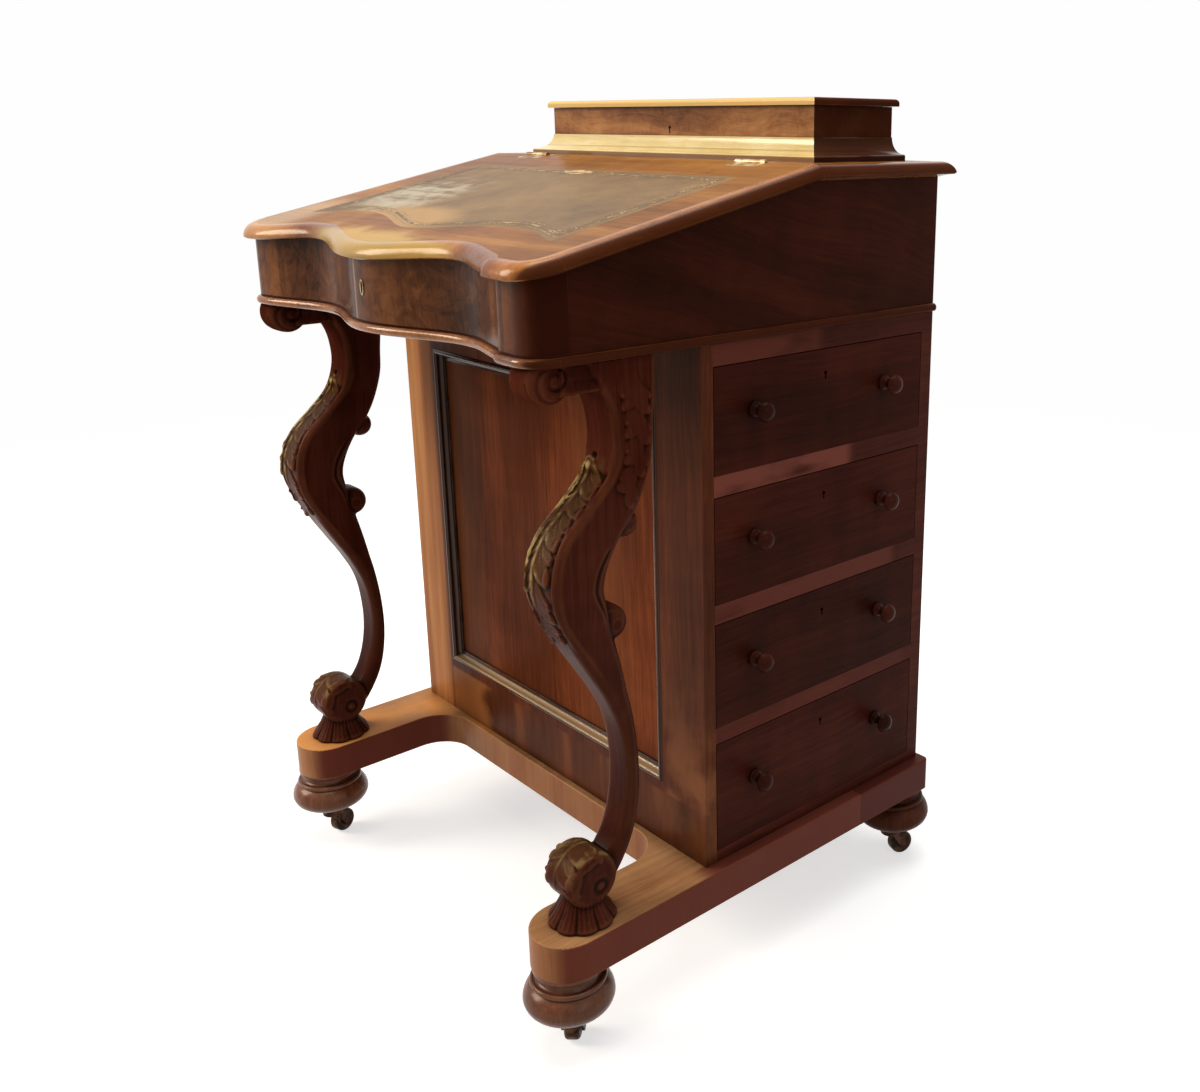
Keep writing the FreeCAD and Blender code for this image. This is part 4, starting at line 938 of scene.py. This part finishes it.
def volute_spiral(leg):
    """A spiral and an eye on the sides of the upper scroll, and two lines under it."""
    y, z, radius = VOLUTE
    r, forward, up = leg.polar(y, z)
    face = ease(leg.sideways, 0.35, 0.75) * (r < radius + 2) * (leg.wide > 8)
    turn = np.arctan2(up, -forward) / (2 * math.pi)
    wave = (r / SPIRAL_PITCH - turn - 0.35) % 1.0
    body = window(r, 5.0, 8.0, radius - 3, radius)
    height = -0.9 * face * body * bell((wave - 0.5) * SPIRAL_PITCH, 1.5)
    height += 0.9 * face * (1 - ease(r, 3.0, 6.0))
    under = (leg.sideways < 0.5) * (np.abs(r - radius) < 3) * (leg.z < z)
    return height - 0.5 * under * bell(leg.wide - 9.0, 1.3)


def toe_leaf(leg):
    """The toe: an eye in a ring on its plain sides, and a leaf wrapped over it, with a scalloped hem."""
    face = ease(leg.sideways, 0.5, 0.85) * (leg.z < 200) * (leg.z > 140) * (leg.wide > 12)
    r, _, _ = leg.polar(*TOE_EYE)
    height = face * (1.6 * (1 - ease(r, 1.5, 4.4)) - 0.7 * bell(r - 6.0, 1.2) + 0.3 * bell(r - 10.5, 2.0))
    y, z, radius = TOE
    r, forward, up = leg.polar(y, z)
    angle = np.degrees(np.arctan2(up, forward))
    spread = window(angle, -30, -10, 106, 120)
    wrap = (leg.sideways < 0.85) * ease(r, radius - 5, radius - 2) * (r < radius + 6)
    down = np.radians(118 - angle) * radius
    leaf = leaf_spray(down, leg.x, np.array([-4.0, 20.0, 44.0]), length=36.0, root=TOE_RIB, left=-18.0,
                      right=17.0, half=13.0, amp=2.4, fall=0.15)
    height += wrap * spread * np.maximum(leaf, 1.2 * dome(leg.x - TOE_RIB, 3.0))
    hem = radius - 7.0 - 2.6 * np.abs(np.sin(np.radians(angle) * 3.4 + 0.5))
    return height + face * spread * ease(r, hem - 0.8, hem + 0.8) * (r < radius + 4)


def foot_flutes(leg):
    """Flutes of the foot, with a lobed hem."""
    turn = np.arctan2((leg.y - SKIRT_Y) / 30.0, leg.x / 29.0)
    spread = 1 - ease(leg.z, 125, 146)
    lobed = (np.abs(np.sin(turn * 4.5 + 0.4)) ** 0.6 - 0.7) * (0.5 + 2.2 * spread)
    fluted = 0.32 * np.cos(turn * 36.0) * ease(leg.z, 125.5, 129)
    outward = np.hypot(leg.normal[:, 0], leg.normal[:, 1])
    return (1 - ease(leg.z, 145, 152)) * outward * (lobed + fluted)


def painted_light_marks(mesh, leg):
    """Stores where painted light falls on the lit front of the strip and the top of the toe, and where their
    crests get painted glints.
    """
    strip = leg.stretch(536, 515, 448, 420) * ease(leg.facing, 0.0, 0.5)
    toe_top = 0.8 * (leg.z < 212) * ease(leg.z, 168, 186) * ease(leg.sideways, 0.8, 0.5) * (leg.y < -176)
    store(mesh, "painted_light", np.maximum(strip * (1 - ease(leg.around, 9.0, 13.0)), toe_top))
    store(mesh, "painted_glint", np.maximum(strip * (1 - ease(leg.around, -8.0, 6.0)), 0.35 * toe_top))


def carve(mesh, hand):
    """Cuts the leaves, rims, scrolls and flutes into the plain form, below its flat top."""
    leg = LegSurface(mesh, hand)
    cuts = (acanthus_strip, back_lines, neck_leaf, volute_spiral, toe_leaf, foot_flutes)
    height = np.where(leg.z > TOP - 0.8, 0, sum(cut(leg) for cut in cuts))
    painted_light_marks(mesh, leg)
    co, _ = vertex_data(mesh)
    move_vertices(mesh, co + height[:, None] * MM * leg.normal)


def scroll_leg(name, hand):
    """One whole leg, in the middle of the desk's width."""
    bm = bmesh.new()
    leg_body(bm)
    for drum in DRUMS:
        cushion_drum(bm, *drum)
    for sizes in SLABS:
        slab(bm, *sizes)
    leaf_skirt(bm)
    bmesh.ops.recalc_face_normals(bm, faces=bm.faces)
    bmesh.ops.scale(bm, vec=(MM, MM, MM), verts=bm.verts)
    obj = add_mesh(name, bm)
    remesh(obj)
    relax(obj.data, 3, 0.5)
    carve(obj.data, hand)
    relax(obj.data, 1, 0.25)
    mark_form(obj.data)
    co, _ = vertex_data(obj.data)
    co[:, 2] = np.clip(co[:, 2], FOOT * MM, TOP * MM)
    move_vertices(obj.data, co)
    return obj


for side, hand in (("right", 1), ("left", -1)):
    leg = scroll_leg("carved_leg_" + side, hand)
    leg.data.transform(Matrix.Translation((hand * LEG_X, CENTRING * MM, 0)))
    dress(leg, CARVED)
    leg.data.shade_smooth()
    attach(leg, "root")
    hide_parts("scroll_leg_" + side)


# -------- tooled border of the leather, in mm

HINGE_Y, SHELF_TOP, SLOPE = 58.75, 761.0, math.radians(12.5)
LEATHER_HALF, LEATHER_REAR, LEATHER_BORDER = 212.0, -52.0, 46.0
HOLLOW_X, CREST_X, HOLLOW_Y = 127.0, 233.0, -213.75
BOW, CREST = 28.5, 23.5            # middle bow and corners forward of the hollows
LIFT = 0.12                        # over the hide


def lid_line(x, inset):
    """A point of the lid's plane at a distance inside the shaped front edge."""
    if abs(x) <= HOLLOW_X:
        turn = math.pi * x / HOLLOW_X
        y = HOLLOW_Y - BOW * (1 + math.cos(turn)) / 2
        rise = BOW * math.pi / (2 * HOLLOW_X) * math.sin(turn)
    else:
        share = (abs(x) - HOLLOW_X) / (CREST_X - HOLLOW_X)
        y = HOLLOW_Y - CREST * (1 - math.cos(math.pi * share)) / 2
        rise = -math.copysign(CREST * math.pi / (2 * (CREST_X - HOLLOW_X)) * math.sin(math.pi * share), x)
    size = math.hypot(rise, 1)
    return x - inset * rise / size, (y - HINGE_Y) / math.cos(SLOPE) + inset / size


def border_loop(inset):
    """The leather's outline moved in, as (across, along the slope)."""
    half, rear = LEATHER_HALF - inset, LEATHER_REAR - inset
    front = [lid_line(x, LEATHER_BORDER + inset) for x in np.linspace(-half - 12, half + 12, 160)]
    front = [point for point in front if abs(point[0]) < half]
    ends = [(side * half, np.interp(side * half, *zip(*front))) for side in (-1, 1)]
    return [(-half, rear), ends[0]] + front + [ends[1], (half, rear)]


def resampled(loop):
    """The loop with a fixed number of points on each of its four sides."""
    sides = [loop[0:2], loop[1:-1], loop[-2:], [loop[-1], loop[0]]]
    points = []
    for side, count in zip(sides, (2, 60, 2, 60)):
        line = np.array(side, float)
        run = np.concatenate([[0], np.cumsum(np.hypot(*np.diff(line, axis=0).T))])
        at = np.linspace(0, run[-1], count, endpoint=False)
        points += list(zip(np.interp(at, run, line[:, 0]), np.interp(at, run, line[:, 1])))
    return points


def on_lid(across, along):
    """A point just over the leather, in metres."""
    return (across * MM, (HINGE_Y + along * math.cos(SLOPE) - LIFT * math.sin(SLOPE)) * MM,
            (SHELF_TOP + along * math.sin(SLOPE) + LIFT * math.cos(SLOPE)) * MM)


def tooled(name, outer, inner, finish):
    """A thin strip between two insets of the outline, riding with the lid."""
    bm = bmesh.new()
    first, second = ([bm.verts.new(on_lid(*point)) for point in resampled(border_loop(inset))]
                     for inset in (outer, inner))
    skin(bm, first, second)
    bmesh.ops.recalc_face_normals(bm, faces=bm.faces)
    if sum(face.normal.z for face in bm.faces) < 0:
        bmesh.ops.reverse_faces(bm, faces=bm.faces)
    obj = add_mesh(name, bm)
    dress(obj, finish)
    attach(obj, "writing_lid")


tooled("gilt_outer_line", 6.0, 6.8, GILT_LINE)
tooled("gilt_band", 9.5, 13.0, GILT_BAND)
tooled("gilt_inner_line", 15.5, 16.3, GILT_LINE)


# -------- studio

CAMERA_PLACE = (1.0162, -0.72725, 0.7917)
CAMERA_YAW, CAMERA_PITCH, CAMERA_ROLL = 45.53, -15.01, 0.378
CAMERA_LENS, CAMERA_SHIFT = 36.64, (-0.1508, -0.0758)
FLOOR_RADIUS = 12
NEAR, FAR = 0.9, 2.6               # metres over which the floor fades into the backdrop
FLOOR_TONE, FLOOR_GLOW = (0.62, 0.62, 0.61, 1), 0.62
BACKDROP = 0.99
WORLD_LIGHT, WORLD_TONE = 0.26, (0.97, 0.98, 1.0, 1)


def look_matrix(place, *angles):
    """A camera's matrix: yaw from +Y, pitch up and roll, in degrees."""
    yaw, pitch, roll = (math.radians(v) for v in angles)
    ahead = Vector((-math.sin(yaw) * math.cos(pitch), math.cos(yaw) * math.cos(pitch), math.sin(pitch)))
    level = Vector((math.cos(yaw), math.sin(yaw), 0))
    upright = level.cross(ahead)
    right = math.cos(roll) * level + math.sin(roll) * upright
    up = -math.sin(roll) * level + math.cos(roll) * upright
    m = Matrix((right, up, -ahead)).transposed().to_4x4()
    m.translation = place
    return m


def softbox(name, place, aim, size, watts, colour):
    """A rectangular lamp that faces a point."""
    data = bpy.data.lights.new(name, "AREA")
    data.shape = "RECTANGLE"
    data.size, data.size_y = size
    data.energy = watts
    data.color = colour
    obj = add_object(name, data)
    obj.location = place
    obj.rotation_euler = (Vector(aim) - Vector(place)).to_track_quat("-Z", "Y").to_euler()


def seen_directly(s):
    """1 for what the camera sees, also in a mirror or through glass, and 0 for light on the object."""
    path = s.node("LightPath").outputs
    mirrored = s.math("MAXIMUM", path["Is Glossy Ray"], path["Is Transmission Ray"])
    return s.math("MAXIMUM", path["Is Camera Ray"], mirrored)


def lay_floor():
    """A pale floor that keeps the desk's shadow and fades into the white backdrop."""
    bm = bmesh.new()
    bmesh.ops.create_circle(bm, cap_ends=True, segments=96, radius=FLOOR_RADIUS)
    floor = add_mesh("floor", bm)
    s = Shader(bpy.data.materials.new("pale_floor"))
    fade = s.step(s.size(s.coords()), NEAR, FAR)
    direct = seen_directly(s)
    glow = s.plus(FLOOR_GLOW, s.times(fade, BACKDROP - FLOOR_GLOW))
    dress(floor, s.surface({
        "Base Color": s.mix(s.times(fade, direct), FLOOR_TONE, (0.0, 0.0, 0.0, 1)), "Roughness": 0.95,
        "Specular IOR Level": 0.0, "Emission Color": (1, 1, 1, 1),
        "Emission Strength": s.times(glow, direct)}))


def light_world():
    """A dim even light on the desk, and a white backdrop for the camera and for reflections."""
    world = bpy.data.worlds.new("studio")
    bpy.context.scene.world = world
    s = Shader(world)
    light = s.tree.nodes["Background"]
    s.put(light.inputs["Color"], WORLD_TONE)
    s.put(light.inputs["Strength"], WORLD_LIGHT)
    white = s.node("Background", {"Color": (1, 1, 1, 1), "Strength": BACKDROP})
    either = s.node("MixShader", {0: seen_directly(s), 1: light.outputs[0], 2: white.outputs[0]})
    s.put(s.tree.nodes["World Output"].inputs["Surface"], either.outputs[0])


camera = add_object("camera", bpy.data.cameras.new("camera"))
camera.data.sensor_width = 36
camera.data.lens = CAMERA_LENS
camera.data.shift_x, camera.data.shift_y = CAMERA_SHIFT
camera.data.clip_end = 100
camera.matrix_world = look_matrix(CAMERA_PLACE, CAMERA_YAW, CAMERA_PITCH, CAMERA_ROLL)
bpy.context.scene.camera = camera
softbox("key", (-2.0, -2.3, 2.1), (0, 0, 0.5), (1.3, 1.6), 95, (1.0, 0.90, 0.78))
softbox("overhead", (0.1, 0.1, 3.0), (0, 0, 0), (2.4, 2.4), 80, (1.0, 0.97, 0.93))
softbox("fill", (3.0, -0.2, 1.6), (0, 0, 0.4), (2.0, 2.0), 10, (1.0, 0.96, 0.92))
lay_floor()
light_world()
bpy.context.scene.view_settings.view_transform = "Standard"
